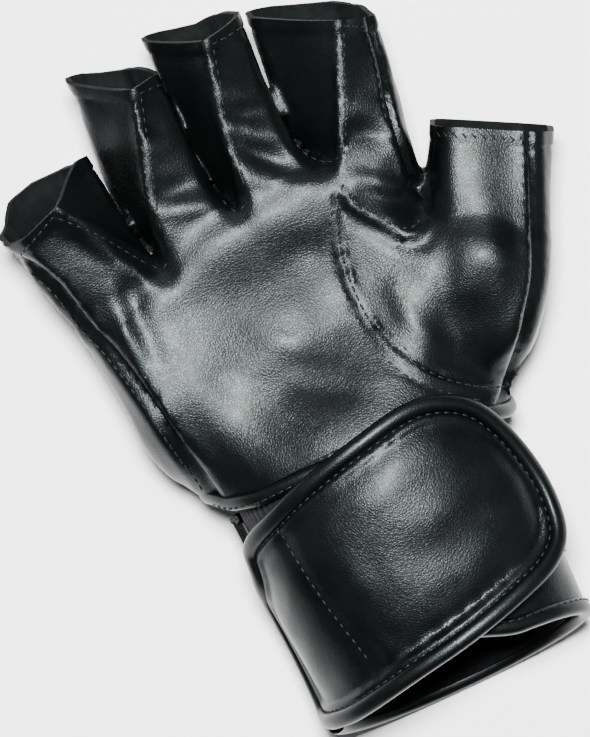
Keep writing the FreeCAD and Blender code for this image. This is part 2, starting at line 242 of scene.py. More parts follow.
class Tube:
    """A finger's leather tube: polygon sections along a straight axis, with rounded corners."""

    def __init__(self, name, A, B, stations, r, s0, s1):
        self.name, self.A = name, np.array(A, float)
        d = np.array(B, float) - self.A
        self.L = np.linalg.norm(d)
        self.d = d / self.L
        u = np.array([self.d[1], -self.d[0], 0.0])
        self.U = u / np.linalg.norm(u)
        self.W = np.cross(self.U, self.d)
        self.r, self.s0, self.s1 = r, s0, s1
        ss = np.array([s for s, _ in stations], float)
        cc = np.array([inset_poly(c, r) for _, c in stations])
        at = np.linspace(ss[0], ss[-1], 120)
        tab = np.empty((120,) + cc.shape[1:])
        for k in range(cc.shape[1]):
            for j in range(2):
                tab[:, k, j] = np.interp(at, ss, cc[:, k, j])
        # soften the corners of the table along the tube
        for _ in range(60):
            tab[1:-1] = 0.25 * tab[:-2] + 0.5 * tab[1:-1] + 0.25 * tab[2:]
        self.at, self.tab = at, tab

    def local(self, P):
        q = P - self.A
        return q @ self.U, q @ self.W, q @ self.d

    def corners(self, s):
        f = np.clip((s - self.at[0]) / (self.at[-1] - self.at[0]) * 119, 0, 118.999)
        i = f.astype(int)
        t = (f - i)[:, None, None]
        return self.tab[i] * (1 - t) + self.tab[i + 1] * t

    def field(self, P):
        u, w, s = self.local(P)
        c = self.corners(s)
        K = c.shape[1]
        d = np.full(u.shape, 1e18)
        inside = np.ones(u.shape, bool)
        for k in range(K):
            a, b = c[:, k], c[:, (k + 1) % K]
            e = b - a
            vx, vy = u - a[:, 0], w - a[:, 1]
            t = np.clip((vx * e[:, 0] + vy * e[:, 1]) / (e[:, 0] ** 2 + e[:, 1] ** 2 + 1e-9), 0, 1)
            d = np.minimum(d, (vx - e[:, 0] * t) ** 2 + (vy - e[:, 1] * t) ** 2)
            inside &= (e[:, 0] * vy - e[:, 1] * vx) >= 0
        d = np.sqrt(d)
        f = np.where(inside, -d, d) - self.r
        return np.maximum(f, np.maximum(self.s0 - s, s - self.s1))


# Sections run counter-clockwise in (u, w): u to the right, w out of the palm side.
def section(uL, uR, uA, hA, hR, hb, under=2.2, lw=-2.0):
    """Corners of a finger section: uL, uR its edges, (uA, hA) the sewn ridge, hR the front's height
    at the right edge, hb its back, under how far the right wall recedes below its edge."""
    w = uR - uL
    return [(uL + w * 0.22, -hb), (uR - w * 0.24 - under * 0.6, -hb), (uR - under, -hb * 0.42), (uR, hR * 0.62),
            (uR - w * 0.09, hR), (uA, hA), (uL + 0.015 * w + 0.3, lw + 3.5), (uL, lw - 3.5)]


TUBES = {}


def tube(name, A, B, stations, r=3.6, s0=-14.0, s1=0.0):
    TUBES[name] = Tube(name, A, B, stations, r, s0, s1)


# base point A (x, y, z) on the crotch line and point B at the middle of the opening
tube("index", (30.2, 57.5, 31.0), (35.6, 96.8, 38.0), [
    (-14, section(-13.0, 14.0, -9.5, 18.0, 17.0, 19.5)),
    (0, section(-13.5, 16.0, -7.5, 18.5, 16.5, 19.0)),
    (9, section(-20.4, 16.8, -4.0, 17.5, 14.0, 17.5)),
    (20, section(-21.2, 17.3, 1.0, 16.5, 11.5, 16.5)),
    (40, section(-20.6, 17.5, 6.5, 14.2, 7.5, 14.0, lw=-3.0)),
    (54, section(-20.4, 17.7, 9.0, 13.5, 6.5, 13.5, lw=-3.0))], s1=58.0)
tube("middle", (-0.2, 57.5, 31.0), (-0.2, 108.0, 40.5), [
    (-14, section(-13.5, 14.0, -11.0, 18.0, 17.0, 19.5)),
    (0, section(-13.8, 15.0, -9.0, 18.5, 17.0, 19.0)),
    (9, section(-16.9, 13.0, -7.5, 17.5, 14.5, 17.5, under=4.6)),
    (18, section(-17.6, 12.7, -6.8, 16.5, 12.5, 16.5, lw=-3.5, under=4.8)),
    (36, section(-16.9, 13.9, -3.2, 14.8, 9.0, 14.0, lw=-4.5, under=4.8)),
    (52, section(-16.2, 15.5, 1.4, 13.5, 7.5, 13.0, lw=-4.5, under=4.2))], s1=59.0)
tube("ring", (-28.6, 56.5, 31.0), (-28.6, 103.5, 40.5), [
    (-14, section(-13.5, 14.0, -11.0, 18.0, 17.0, 19.5)),
    (0, section(-14.0, 14.4, -10.0, 18.0, 17.0, 19.0)),
    (9, section(-17.3, 12.4, -8.3, 17.5, 15.0, 17.5, under=4.6)),
    (18, section(-17.9, 12.2, -6.5, 16.5, 13.0, 16.5, lw=-4.0, under=4.8)),
    (34, section(-17.2, 12.3, -1.0, 15.0, 10.0, 14.0, lw=-4.0, under=4.8)),
    (50, section(-14.4, 13.2, 3.2, 13.5, 8.0, 12.5, lw=-3.5, under=4.8))], s1=59.0)
tube("pinky", (-58.0, 47.5, 31.5), (-64.3, 87.0, 45.0), [
    (-14, [(-9.0, -19.0), (10.0, -19.0), (15.0, -6.0), (15.5, 9.0), (13.5, 18.0), (-9.0, 18.0), (-15.0, 8.0), (-15.5, -6.0)]),
    (0, [(-9.0, -19.0), (9.5, -19.0), (15.0, -6.0), (15.6, 9.0), (13.0, 17.5), (-11.0, 16.5), (-16.5, 7.0), (-17.0, -6.0)]),
    (18, [(-9.0, -17.0), (6.5, -17.0), (11.0, -8.0), (15.8, 3.0), (6.0, 16.5), (-12.5, 13.5), (-18.0, 6.0), (-18.5, -5.0)]),
    (40, [(-10.0, -14.0), (9.0, -14.0), (14.0, -7.0), (18.0, 1.0), (1.0, 14.5), (-14.0, 10.5), (-19.5, 4.0), (-20.0, -5.0)])],
     s1=60.0)
tube("thumb", (56.0, 19.4, 31.0), (69.2, 42.4, 32.5), [
    (-52, [(-6.0, -10.0), (1.0, -10.0), (5.0, -6.0), (5.0, 6.0), (1.0, 12.0), (-6.0, 12.0), (-10.0, 6.0), (-10.0, -6.0)]),
    (-40, [(-8.0, -18.0), (9.0, -18.0), (16.5, -8.0), (16.5, 9.0), (9.0, 19.0), (-8.0, 19.0), (-12.0, 8.0), (-12.0, -8.0)]),
    (-24, [(-12.0, -20.0), (14.0, -20.0), (20.6, -8.0), (20.6, 10.0), (13.5, 20.5), (-12.0, 20.5), (-18.0, 8.0), (-18.0, -8.0)]),
    (0, [(-13.0, -18.5), (12.5, -18.5), (19.8, -8.0), (19.8, 8.0), (13.5, 17.8), (-14.0, 17.8), (-19.3, 7.0), (-19.3, -7.0)]),
    (27, [(-13.0, -16.5), (12.0, -16.5), (19.2, -7.0), (19.2, 6.5), (12.0, 15.0), (-15.0, 15.5), (-19.0, 7.0), (-19.0, -6.0)])],
     r=5.5, s0=-50.0, s1=42.0)

OUTLINE = smooth_line([(-60.0, -30.0), (-64.9, -17.0), (-69.0, -10.5), (-71.8, 0.6), (-72.2, 17.9), (-73.4, 34.0),
                       (-70.0, 44.0), (-44.0, 51.0), (-28.0, 58.0), (-4.0, 60.0), (20.0, 59.0), (42.5, 54.0), (42.0, 42.0),
                       (41.0, 30.0), (52.0, 20.0), (66.0, 5.0), (64.8, 0.6), (58.4, -12.5), (52.4, -22.5), (46.5, -29.5),
                       (40.0, -36.0), (34.0, -46.0), (-14.0, -48.0), (-57.0, -46.0)], 150, closed=True)


def gauss(x, y, cx, cy, sx, sy, ang=0.0):
    c, s = math.cos(math.radians(ang)), math.sin(math.radians(ang))
    u, v = (x - cx) * c + (y - cy) * s, -(x - cx) * s + (y - cy) * c
    return np.exp(-0.5 * ((u / sx) ** 2 + (v / sy) ** 2))


WCX, WCZ, WA, WB = -12.6, 30.4, 47.0, 29.4     # the shell's elliptical end round the wrist


def palm_top(x, y):
    z = 48.6 + 0 * x
    z = z + 5.0 * gauss(x, y, 42.0, -2.0, 14.0, 20.0, -28)       # ball of the thumb
    z = z + 2.6 * gauss(x, y, -50.0, 2.0, 13.0, 22.0)            # heel of the hand
    z = z - 2.4 * gauss(x, y, -12.0, 20.0, 20.0, 18.0)           # hollow of the palm
    z = z + 1.6 * gauss(x, y, -5.0, 46.0, 34.0, 8.0)             # pads under the fingers
    z = z - 3.5 * sstep(25, 46, x) * sstep(14, 30, y)            # falls away to the thumb web
    z = z - 2.0 * sstep(-60, -74, x)
    k = np.clip(1 - ((x - WCX) / (WA * 1.08)) ** 2, 0, 1)
    zw = WCZ + WB * np.sqrt(k) - 0.6
    w = sstep(12, -30, y)
    return z * (1 - w) + np.maximum(zw, 36.0) * w


def palm_bottom(x, y):
    z = 2.3 + 0.0 * x
    z = z + 6.0 * sstep(40, 60, y)                               # the knuckle end rises towards the fingers
    k = np.clip(1 - ((x - WCX) / (WA * 1.08)) ** 2, 0, 1)
    zw = WCZ - WB * np.sqrt(k) + 0.4
    w = sstep(-4, -30, y)
    return z * (1 - w) + np.minimum(zw, 26.0) * w


def palm_field(P):
    x, y, z = P[:, 0], P[:, 1], P[:, 2]
    zt, zb = palm_top(x, y), palm_bottom(x, y)
    zc, hz = (zt + zb) / 2, (zt - zb) / 2
    r = 13.0
    d2 = OUT_SDF(x, y) + r
    dz = np.abs(z - zc) - hz + r
    return np.minimum(np.maximum(d2, dz), 0) + np.hypot(np.maximum(d2, 0), np.maximum(dz, 0)) - r


# the outline's distance, kept on a grid
GX0, GY0, GS = -110.0, -90.0, 1.0
_gx = np.arange(GX0, 121.0, GS)
_gy = np.arange(GY0, 131.0, GS)
_XX, _YY = np.meshgrid(_gx, _gy, indexing="ij")
_OUT = sd_poly2(_XX, _YY, OUTLINE)


def OUT_SDF(x, y):
    fx = np.clip((x - GX0) / GS, 0, len(_gx) - 1.001)
    fy = np.clip((y - GY0) / GS, 0, len(_gy) - 1.001)
    i, j = fx.astype(int), fy.astype(int)
    a, b = fx - i, fy - j
    return (_OUT[i, j] * (1 - a) * (1 - b) + _OUT[i + 1, j] * a * (1 - b) + _OUT[i, j + 1] * (1 - a) * b + _OUT[i + 1, j + 1] * a * b)


def fields(P):
    """(whole field, {name: tube field})"""
    f = palm_field(P)
    t = {n: tb.field(P) for n, tb in TUBES.items()}
    f = smin(f, t["thumb"], 7.0)
    g = smin(smin(t["index"], t["middle"], 0.7), smin(t["ring"], t["pinky"], 0.7), 0.7)
    f = smin(f, g, 4.5)
    return f, t


def field(P):
    return fields(P)[0]


def gradient(P, e=0.35):
    g = np.zeros_like(P)
    for k in range(3):
        o = np.zeros(3)
        o[k] = e
        g[:, k] = (field(P + o) - field(P - o)) / (2 * e)
    return g


def surface_nets(F, lo, h):
    """Quads of the zero level of a grid of field values."""
    nx, ny, nz = F.shape
    ins = F < 0
    cells = (nx - 1, ny - 1, nz - 1)
    ncell = cells[0] * cells[1] * cells[2]
    sums = np.zeros((ncell, 3))
    cnt = np.zeros(ncell)
    quads = []
    for ax in range(3):
        sl0 = [slice(None)] * 3
        sl1 = [slice(None)] * 3
        sl0[ax], sl1[ax] = slice(0, -1), slice(1, None)
        a, b = ins[tuple(sl0)], ins[tuple(sl1)]
        I = np.argwhere(a != b)
        f0 = F[tuple(I.T)]
        J = I.copy()
        J[:, ax] += 1
        f1 = F[tuple(J.T)]
        t = f0 / (f0 - f1)
        P = I.astype(float)
        P[:, ax] += t
        o1, o2 = [(1, 2), (2, 0), (0, 1)][ax]
        ids = []
        ok = np.ones(len(I), bool)
        for d1, d2 in ((-1, -1), (0, -1), (0, 0), (-1, 0)):
            C = I.copy()
            C[:, o1] += d1
            C[:, o2] += d2
            good = (C >= 0).all(1) & (C < np.array(cells)).all(1)
            ok &= good
            cid = (C[:, 0] * cells[1] + C[:, 1]) * cells[2] + C[:, 2]
            cid = np.where(good, cid, 0)
            for k in range(3):
                sums[:, k] += np.bincount(cid[good], weights=P[good, k], minlength=ncell)
            cnt += np.bincount(cid[good], minlength=ncell)
            ids.append(cid)
        q = np.stack(ids, 1)[ok]
        flip = ~ins[tuple(I.T)][ok]
        q[flip] = q[flip][:, ::-1]
        quads.append(q)
    quads = np.vstack(quads)
    used, inv = np.unique(quads, return_inverse=True)
    V = sums[used] / cnt[used][:, None] * h + lo
    return V, inv.reshape(-1, 4)


def tri(Q):
    return np.vstack([Q[:, [0, 1, 2]], Q[:, [0, 2, 3]]])


def subdivide_quads(V, Q):
    """One linear subdivision of a quad mesh."""
    E = np.sort(np.stack([Q, np.roll(Q, -1, 1)], 2).reshape(-1, 2), axis=1)
    u, inv = np.unique(E, axis=0, return_inverse=True)
    inv = inv.reshape(-1, 4)
    n = len(V)
    mid = (V[u[:, 0]] + V[u[:, 1]]) / 2
    cen = V[Q].mean(1)
    e = inv + n
    c = np.arange(len(Q)) + n + len(u)
    out = []
    for k in range(4):
        out.append(np.stack([Q[:, k], e[:, k], c, e[:, k - 1]], 1))
    return np.vstack([V, mid, cen]), np.vstack(out)


def project(V, steps=3, cap=1.2):
    for _ in range(steps):
        f = field(V)
        g = gradient(V)
        n2 = (g * g).sum(1)
        st = (f / np.maximum(n2, 0.15))[:, None] * g
        l = np.linalg.norm(st, axis=1, keepdims=True)
        V = V - st * np.minimum(1, cap / np.maximum(l, 1e-9))
    return V


def compact(V, F, *attrs):
    used, inv = np.unique(F, return_inverse=True)
    return (V[used], inv.reshape(F.shape)) + tuple(a[used] for a in attrs)


def vertex_normals(V, F):
    n = np.zeros_like(V)
    if F.shape[1] == 4:
        F = tri(F)
    a, b, c = V[F[:, 0]], V[F[:, 1]], V[F[:, 2]]
    fn = np.cross(b - a, c - a)
    for k in range(3):
        for j in range(3):
            n[:, j] += np.bincount(F[:, k], weights=fn[:, j], minlength=len(V))
    return unit(n)


def soften(V, F, N, times):
    """Evens out shading normals over neighbouring faces, weighted by area."""
    fa = np.linalg.norm(np.cross(V[F[:, 1]] - V[F[:, 0]], V[F[:, 2]] - V[F[:, 0]]), axis=1)
    for _ in range(times):
        fm = unit(N[F].sum(1)) * fa[:, None]
        n = np.zeros_like(V)
        for k in range(3):
            for j in range(3):
                n[:, j] += np.bincount(F[:, k], weights=fm[:, j], minlength=len(V))
        N = unit(n)
    return N


def cut(V, F, g, part, near=0.18):
    """Splits triangles where g changes sign, in the faces that part marks.  Returns V, F, g, parent face."""
    g = g.copy()
    use = np.zeros(len(V), bool)
    use[F[part]] = True
    # a vertex that lies close to the line is moved on to it along an edge
    Fp = F[part]
    E = np.unique(np.sort(np.vstack([Fp[:, [0, 1]], Fp[:, [1, 2]], Fp[:, [2, 0]]]), axis=1), axis=0)
    ga, gb = g[E[:, 0]], g[E[:, 1]]
    cr = (ga * gb) < 0
    Ec, ga, gb = E[cr], ga[cr], gb[cr]
    t = ga / (ga - gb)
    V = V.copy()
    done = np.zeros(len(V), bool)
    for side in (0, 1):
        tt = t if side == 0 else 1 - t
        o = np.argsort(tt)
        m = tt[o] < near
        idx = Ec[o][m][:, side]
        oth = Ec[o][m][:, 1 - side]
        tv = tt[o][m]
        first = np.unique(idx, return_index=True)[1]
        idx, oth, tv = idx[first], oth[first], tv[first]
        ok = ~done[idx] & ~done[oth]
        idx, oth, tv = idx[ok], oth[ok], tv[ok]
        V0 = V.copy()
        V[idx] = V0[idx] + (V0[oth] - V0[idx]) * tv[:, None]
        g[idx] = 0
        done[idx] = True
    ga, gb = g[E[:, 0]], g[E[:, 1]]
    cr = (ga * gb) < 0
    Ec = E[cr]
    t = g[Ec[:, 0]] / (g[Ec[:, 0]] - g[Ec[:, 1]])
    newV = V[Ec[:, 0]] * (1 - t)[:, None] + V[Ec[:, 1]] * t[:, None]
    key = Ec[:, 0].astype(np.int64) * (len(V) + 1) + Ec[:, 1]
    base = len(V)
    V2 = np.vstack([V, newV])
    g2 = np.concatenate([g, np.zeros(len(newV))])
    src = np.vstack([np.stack([np.arange(base)] * 2, 1), Ec])
    tw = np.concatenate([np.zeros(base), t])

    def eid(a, b):
        k = np.minimum(a, b).astype(np.int64) * (base + 1) + np.maximum(a, b)
        if len(key) == 0:
            return np.full(len(a), -1)
        p = np.searchsorted(key, k)
        p = np.clip(p, 0, len(key) - 1)
        return np.where(key[p] == k, p + base, -1)

    e0, e1, e2 = eid(F[:, 0], F[:, 1]), eid(F[:, 1], F[:, 2]), eid(F[:, 2], F[:, 0])
    n = (e0 >= 0).astype(int) + (e1 >= 0) + (e2 >= 0)
    outF, par = [F[n == 0]], [np.flatnonzero(n == 0)]
    ids = np.arange(len(F))
    for k in range(3):
        ea, eb, ec = [(e0, e1, e2), (e1, e2, e0), (e2, e0, e1)][k]
        a, b, c = F[:, k], F[:, (k + 1) % 3], F[:, (k + 2) % 3]
        m = (n == 1) & (ea >= 0)
        outF += [np.stack([a, ea, c], 1)[m], np.stack([ea, b, c], 1)[m]]
        par += [ids[m], ids[m]]
        # two edges cut, and the one from c to a is whole: corner b is alone
        m = (n == 2) & (ea >= 0) & (eb >= 0)
        outF += [np.stack([ea, b, eb], 1)[m], np.stack([a, ea, eb], 1)[m], np.stack([a, eb, c], 1)[m]]
        par += [ids[m]] * 3
        if k == 0:
            m3 = n == 3
            outF += [np.stack([a, e0, e2], 1)[m3], np.stack([e0, b, e1], 1)[m3], np.stack([e2, e1, c], 1)[m3], np.stack([e0, e1, e2], 1)[m3]]
            par += [ids[m3]] * 4
    return V2, np.vstack(outF), g2, np.concatenate(par), src, tw


def face_mean(g, F):
    return g[F].mean(1)


def boundary_edges(F):
    E = np.vstack([F[:, [0, 1]], F[:, [1, 2]], F[:, [2, 0]]])
    key = E[:, 0].astype(np.int64) * 10000000 + E[:, 1]
    rev = E[:, 1].astype(np.int64) * 10000000 + E[:, 0]
    return E[~np.isin(key, rev)]


# =====================================================================================
# lines of the pattern, in plan
# =====================================================================================
PALM_L = smooth_line([(-86.0, 79.0), (-82.0, 72.5), (-77.2, 66.3), (-73.0, 56.7), (-70.6, 43.6), (-67.2, 33.2), (-63.8, 15.9),
                      (-61.4, -2.9), (-59.3, -16.0), (-58.5, -26.0)], 60)[::-1]
THUMB_R = smooth_line([(83.0, 44.0), (77.5, 31.8), (70.7, 16.2), (61.3, -3.4), (53.8, -13.5), (46.7, -22.1), (37.6, -31.4), (30.0, -40.0)], 50)
RIDGE = {
    "pinky": smooth_line([(-42.4, 50.0), (-43.6, 52.0), (-53.9, 67.9), (-64.3, 80.3), (-72.0, 90.0)], 30),
    "ring": smooth_line([(-42.4, 49.0), (-41.4, 51.0), (-35.8, 69.3), (-28.9, 90.1), (-25.4, 102.1), (-22.5, 113.0)], 30),
    "middle": smooth_line([(-12.0, 54.0), (-10.9, 56.8), (-8.1, 65.8), (-5.4, 81.8), (-1.4, 95.4), (1.3, 105.5), (3.0, 116.0)], 30),
    "index": smooth_line([(21.5, 52.0), (23.8, 56.9), (32.9, 76.6), (41.8, 95.0), (47.5, 107.0)], 30),
}
IDX_R = smooth_line([(52.0, 99.0), (49.8, 89.6), (47.3, 76.3), (43.7, 64.2), (41.8, 54.8), (40.4, 41.6), (40.0, 32.5), (40.2, 24.0)], 30)
VALLEYS = [
    np.vstack([RIDGE["pinky"][::-1], RIDGE["ring"], [(-30, 130), (-85, 120)]]),
    np.array([(-12.6, 120), (-13.4, 105), (-14.1, 99.0), (-16.3, 87.3), (-16.3, 76.9), (-15.9, 65.5), (-14.1, 57.4), (-12.6, 56.0)]
             + [tuple(p) for p in RIDGE["middle"][4:]]),
    np.array([(15.3, 120), (15.3, 107.2), (13.9, 94.7), (12.7, 83.2), (12.1, 73.1), (13.1, 67.0), (15.5, 60.6), (18.5, 57.0), (22.0, 56.4)]
             + [tuple(p) for p in RIDGE["index"][5:]]),
    np.vstack([IDX_R[:-4], [(41.4, 28.6), (45.4, 39.1), (53.0, 52.5), (70, 90), (60, 110)]]),
]
THENAR_OUT = smooth_line([(20.3, 47.1), (14.8, 42.3), (10.6, 37.4), (8.1, 31.7), (5.9, 22.5), (5.1, 12.5), (5.8, 0), (10.0, -12.5), (18.6, -23.0),
                          (30.8, -33.2), (40.0, -38.0)], 70)
THENAR_IN = smooth_line([(17.7, 43.2), (14.6, 37.5), (12.0, 31.5), (10.3, 24.7), (9.2, 16.2), (9.5, 4.3), (12.8, -6.9), (20.8, -18.6), (30.4, -27.1),
                         (40.0, -32.3), (48.0, -36.0)], 70)
THENAR_TOP1 = smooth_line([(20.3, 47.1), (20.6, 41.3), (22.6, 37.3), (24.9, 34.8), (27.3, 29.6), (30.3, 26.6), (34.1, 25.6), (39.0, 28.4)], 30)
THENAR_TOP2 = smooth_line([(17.7, 42.6), (19.4, 37.9), (22.4, 33.5), (26.6, 27.9), (29.1, 24.4), (32.3, 22.3), (35.6, 22.9), (40.5, 26.6)], 30)
THENAR_POLY = np.vstack([THENAR_IN[::-1], THENAR_TOP2, [(42.0, 30.0), (52, 52), (60, 70), (110, 60), (110, -60), (48, -60)]])
BORDER = {"index": ((18.5, 58.0), (0.122, 0.993)), "middle": ((0.0, 57.5), (0.0, 1.0)), "ring": ((-28.0, 57.5), (0.0, 1.0)),
          "pinky": ((-42.5, 51.0), (-0.139, 0.990)), "thumb": ((39.1, 29.6), (0.5, 0.866))}
FINGERS = ["index", "middle", "ring", "pinky", "thumb"]
# front edge of each opening in plan, its height, and how much further the back edge reaches
OPENING = {
    "index": ([(14.0, 104.0), (18.6, 102.4), (30.0, 97.6), (41.8, 92.9), (48.4, 89.6), (55.0, 86.0)], 50.0, 3.0),
    "middle": ([(-20.0, 111.2), (-15.7, 110.5), (-6.0, 107.6), (1.3, 105.8), (9.0, 106.3), (18.0, 107.6)], 52.0, 2.6),
    "ring": ([(-46.0, 110.6), (-41.7, 108.9), (-32.0, 104.6), (-25.4, 102.3), (-18.0, 102.2), (-11.0, 99.0)], 52.0, 3.2),
    "pinky": ([(-90.0, 70.0), (-84.7, 72.1), (-74.0, 76.2), (-64.3, 80.3), (-59.6, 82.8), (-51.1, 89.7), (-44.0, 92.0)], 54.0,
              [(-90.0, 84.0), (-81.6, 86.0), (-76.4, 91.5), (-67.1, 93.7), (-57.4, 93.2), (-51.1, 94.4), (-44.0, 93.0)]),
    "thumb": ([(47.0, 53.6), (52.3, 50.9), (79.8, 35.2), (90.0, 29.5)], 48.0, 2.0),
}


def open_field(P, name):
    """Distance beyond the opening of a finger, along the finger."""
    tb = TUBES[name]
    front, zf, back = OPENING[name]
    u, w, s = tb.local(P)
    fl = np.array([(x, y, zf) for x, y in front])
    fu, _, fs = tb.local(fl)
    o = np.argsort(fu)
    a = np.interp(u, fu[o], fs[o])
    if isinstance(back, list):
        bl = np.array([(x, y, 24.0) for x, y in back])
        bu, _, bs = tb.local(bl)
        o = np.argsort(bu)
        b = np.interp(u, bu[o], bs[o])
    else:
        b = a + back
    k = sstep(-12, 12, w)
    return s - (b * (1 - k) + a * k)


WRIST_X = np.array([-70, -66, -62, -55.6, -46.8, -32.7, 0, 20, 30, 36, 46], float)
WRIST_Y = np.array([-13, -16.6, -21.6, -27.0, -29.2, -29.0, -31.0, -34.5, -37.5, -39.5, -42.0], float)


def wrist_cut(P):
    k = sstep(20, 40, P[:, 2])
    top = np.interp(P[:, 0], WRIST_X, WRIST_Y)
    return (top * k + np.interp(P[:, 0], [-66, -40, 10, 46], [-20, -31, -34, -36]) * (1 - k)) - P[:, 1]


def border_field(P, name):
    (x, y), (nx, ny) = BORDER[name]
    return (P[:, 0] - x) * nx + (P[:, 1] - y) * ny


def pattern(P, tubes):
    """(front field: above 0 on the palm side's leather, back field: below 0 on the back's leather, nearest tube)"""
    x, y, z = P[:, 0], P[:, 1], P[:, 2]
    near = np.argmin(np.stack([tubes[n] for n in FINGERS]), axis=0)
    sd_l = -d_line2(x, y, PALM_L)[1]
    sd_t = -d_line2(x, y, THUMB_R)[1]
    palm = np.minimum(sd_l, sd_t)
    for v in VALLEYS:
        palm = np.minimum(palm, sd_poly2(x, y, v))
    palm = np.minimum(palm, z - 32.0)
    G = palm.copy()
    zb = palm_bottom(x, y)
    B = z - (zb + 6.5)
    for k, n in enumerate(FINGERS):
        m = near == k
        u, w, s = TUBES[n].local(P[m])
        t = TUBES[n]
        if n in RIDGE:
            side = d_line2(x[m], y[m], RIDGE[n])[1]
        if n == "pinky":
            g = np.minimum(side, sd_l[m])
        elif n == "thumb":
            g = np.minimum(w - 9.0, sd_t[m])
        elif n == "index":
            g = np.minimum(-side, -d_line2(x[m], y[m], IDX_R)[1])
        else:
            w3 = np.interp(s, [0, 18, 50], [10.0, 7.8, 5.0])
            g = np.minimum(-side, w - w3)
        g = np.minimum(g, w)
        k2 = sstep(2.0, 10.0, s) if n != "thumb" else sstep(8.0, 16.0, s)
        G[m] = G[m] * (1 - k2) + g * k2
        k3 = sstep(-8, 10, s)
        B[m] = B[m] * (1 - k3) + (w + 8.5) * k3
    return G, B, near


# =====================================================================================
# relief of the leather, in mm along the normal, as a function of the place
# =====================================================================================
# (points in plan, height, half width): folds and swells of the palm side
FOLDS = [
    ([(-33.6, 69.5), (-26.7, 68.2), (-19.5, 67.3)], -1.5, 3.6), ([(-32.5, 64.5), (-25.7, 61.8), (-17.1, 58.9)], 1.1, 3.2),
    ([(-28.4, 93.3), (-25.3, 89.0), (-20.6, 87.3)], -0.7, 2.4), ([(-31.7, 84.5), (-25.6, 82.9), (-19.2, 81.8)], 0.8, 3.0),
    ([(0.2, 88.7), (5.2, 85.5), (12.7, 84.6)], 0.9, 3.0), ([(-3.4, 82.3), (2.7, 79.9), (8.5, 78.4)], -1.1, 2.2),
    ([(-2.0, 77.3), (4.1, 71.5), (12.7, 68.6)], 0.9, 3.0), ([(-3.4, 71.8), (2.7, 64.6), (8.5, 57.8)], -1.6, 3.0),
    ([(-5.1, 61.5), (2.4, 57.1), (9.4, 51.6)], 0.9, 3.5),
    ([(27.1, 60.0), (33.1, 58.1), (38.1, 54.9)], -1.0, 2.8), ([(30.7, 67.3), (35.7, 65.5), (41.1, 63.8)], 0.7, 3.2),
    ([(24.4, 50.6), (29.1, 47.6), (35.2, 45.9)], -0.9, 3.0), ([(25.5, 41.5), (30.9, 35.5), (36.3, 29.5)], -1.4, 3.0),
    ([(26.0, 46.0), (31.3, 40.6), (36.8, 35.8)], 0.6, 2.4),
    ([(62.1, 37.8), (56.3, 23.3), (51.6, 4.9), (44.7, -15.9), (35.5, -28.0)], 1.2, 6.0),
    ([(46.0, 35.0), (42.2, 20.8), (38.4, 6.4)], -1.0, 4.0), ([(37.1, 15.6), (32.4, 0.6), (27.9, -12.7), (22.6, -16.9)], -1.5, 4.5),
    ([(20.1, 10.3), (20.1, -2.1), (25.2, -11.8)], 1.0, 4.0),
    ([(-58.8, 49.6), (-60.4, 38.2), (-60.2, 28.8)], 1.2, 3.0), ([(-52.6, 48.7), (-55.7, 37.1), (-56.0, 25.2)], -0.9, 3.0),
    ([(-64.7, 72.6), (-61.1, 64.5), (-55.0, 57.3)], -1.3, 3.6), ([(-73.3, 66.5), (-68.3, 55.6), (-62.4, 47.9)], 0.6, 4.0),
    ([(-24.7, 18.7), (-14.7, 7.5), (-6.9, 2.2)], -0.5, 3.5), ([(-19.1, -1.4), (-12.7, -8.3), (-2.7, -13.5)], -0.6, 4.0),
    ([(-41.3, 8.7), (-36.2, -5.3), (-32.1, -19.4)], -0.6, 5.0), ([(-3.0, 38.0), (4.0, 30.0), (3.0, 18.0)], -0.4, 4.0),
    ([(64.1, 2.8), (56.3, -11.0), (48.6, -20.1)], 0.6, 3.0), ([(-50.0, -8.0), (-46.0, -20.0)], 0.6, 5.0),
]


def bump(d, w):
    return np.exp(-(d / w) ** 2)


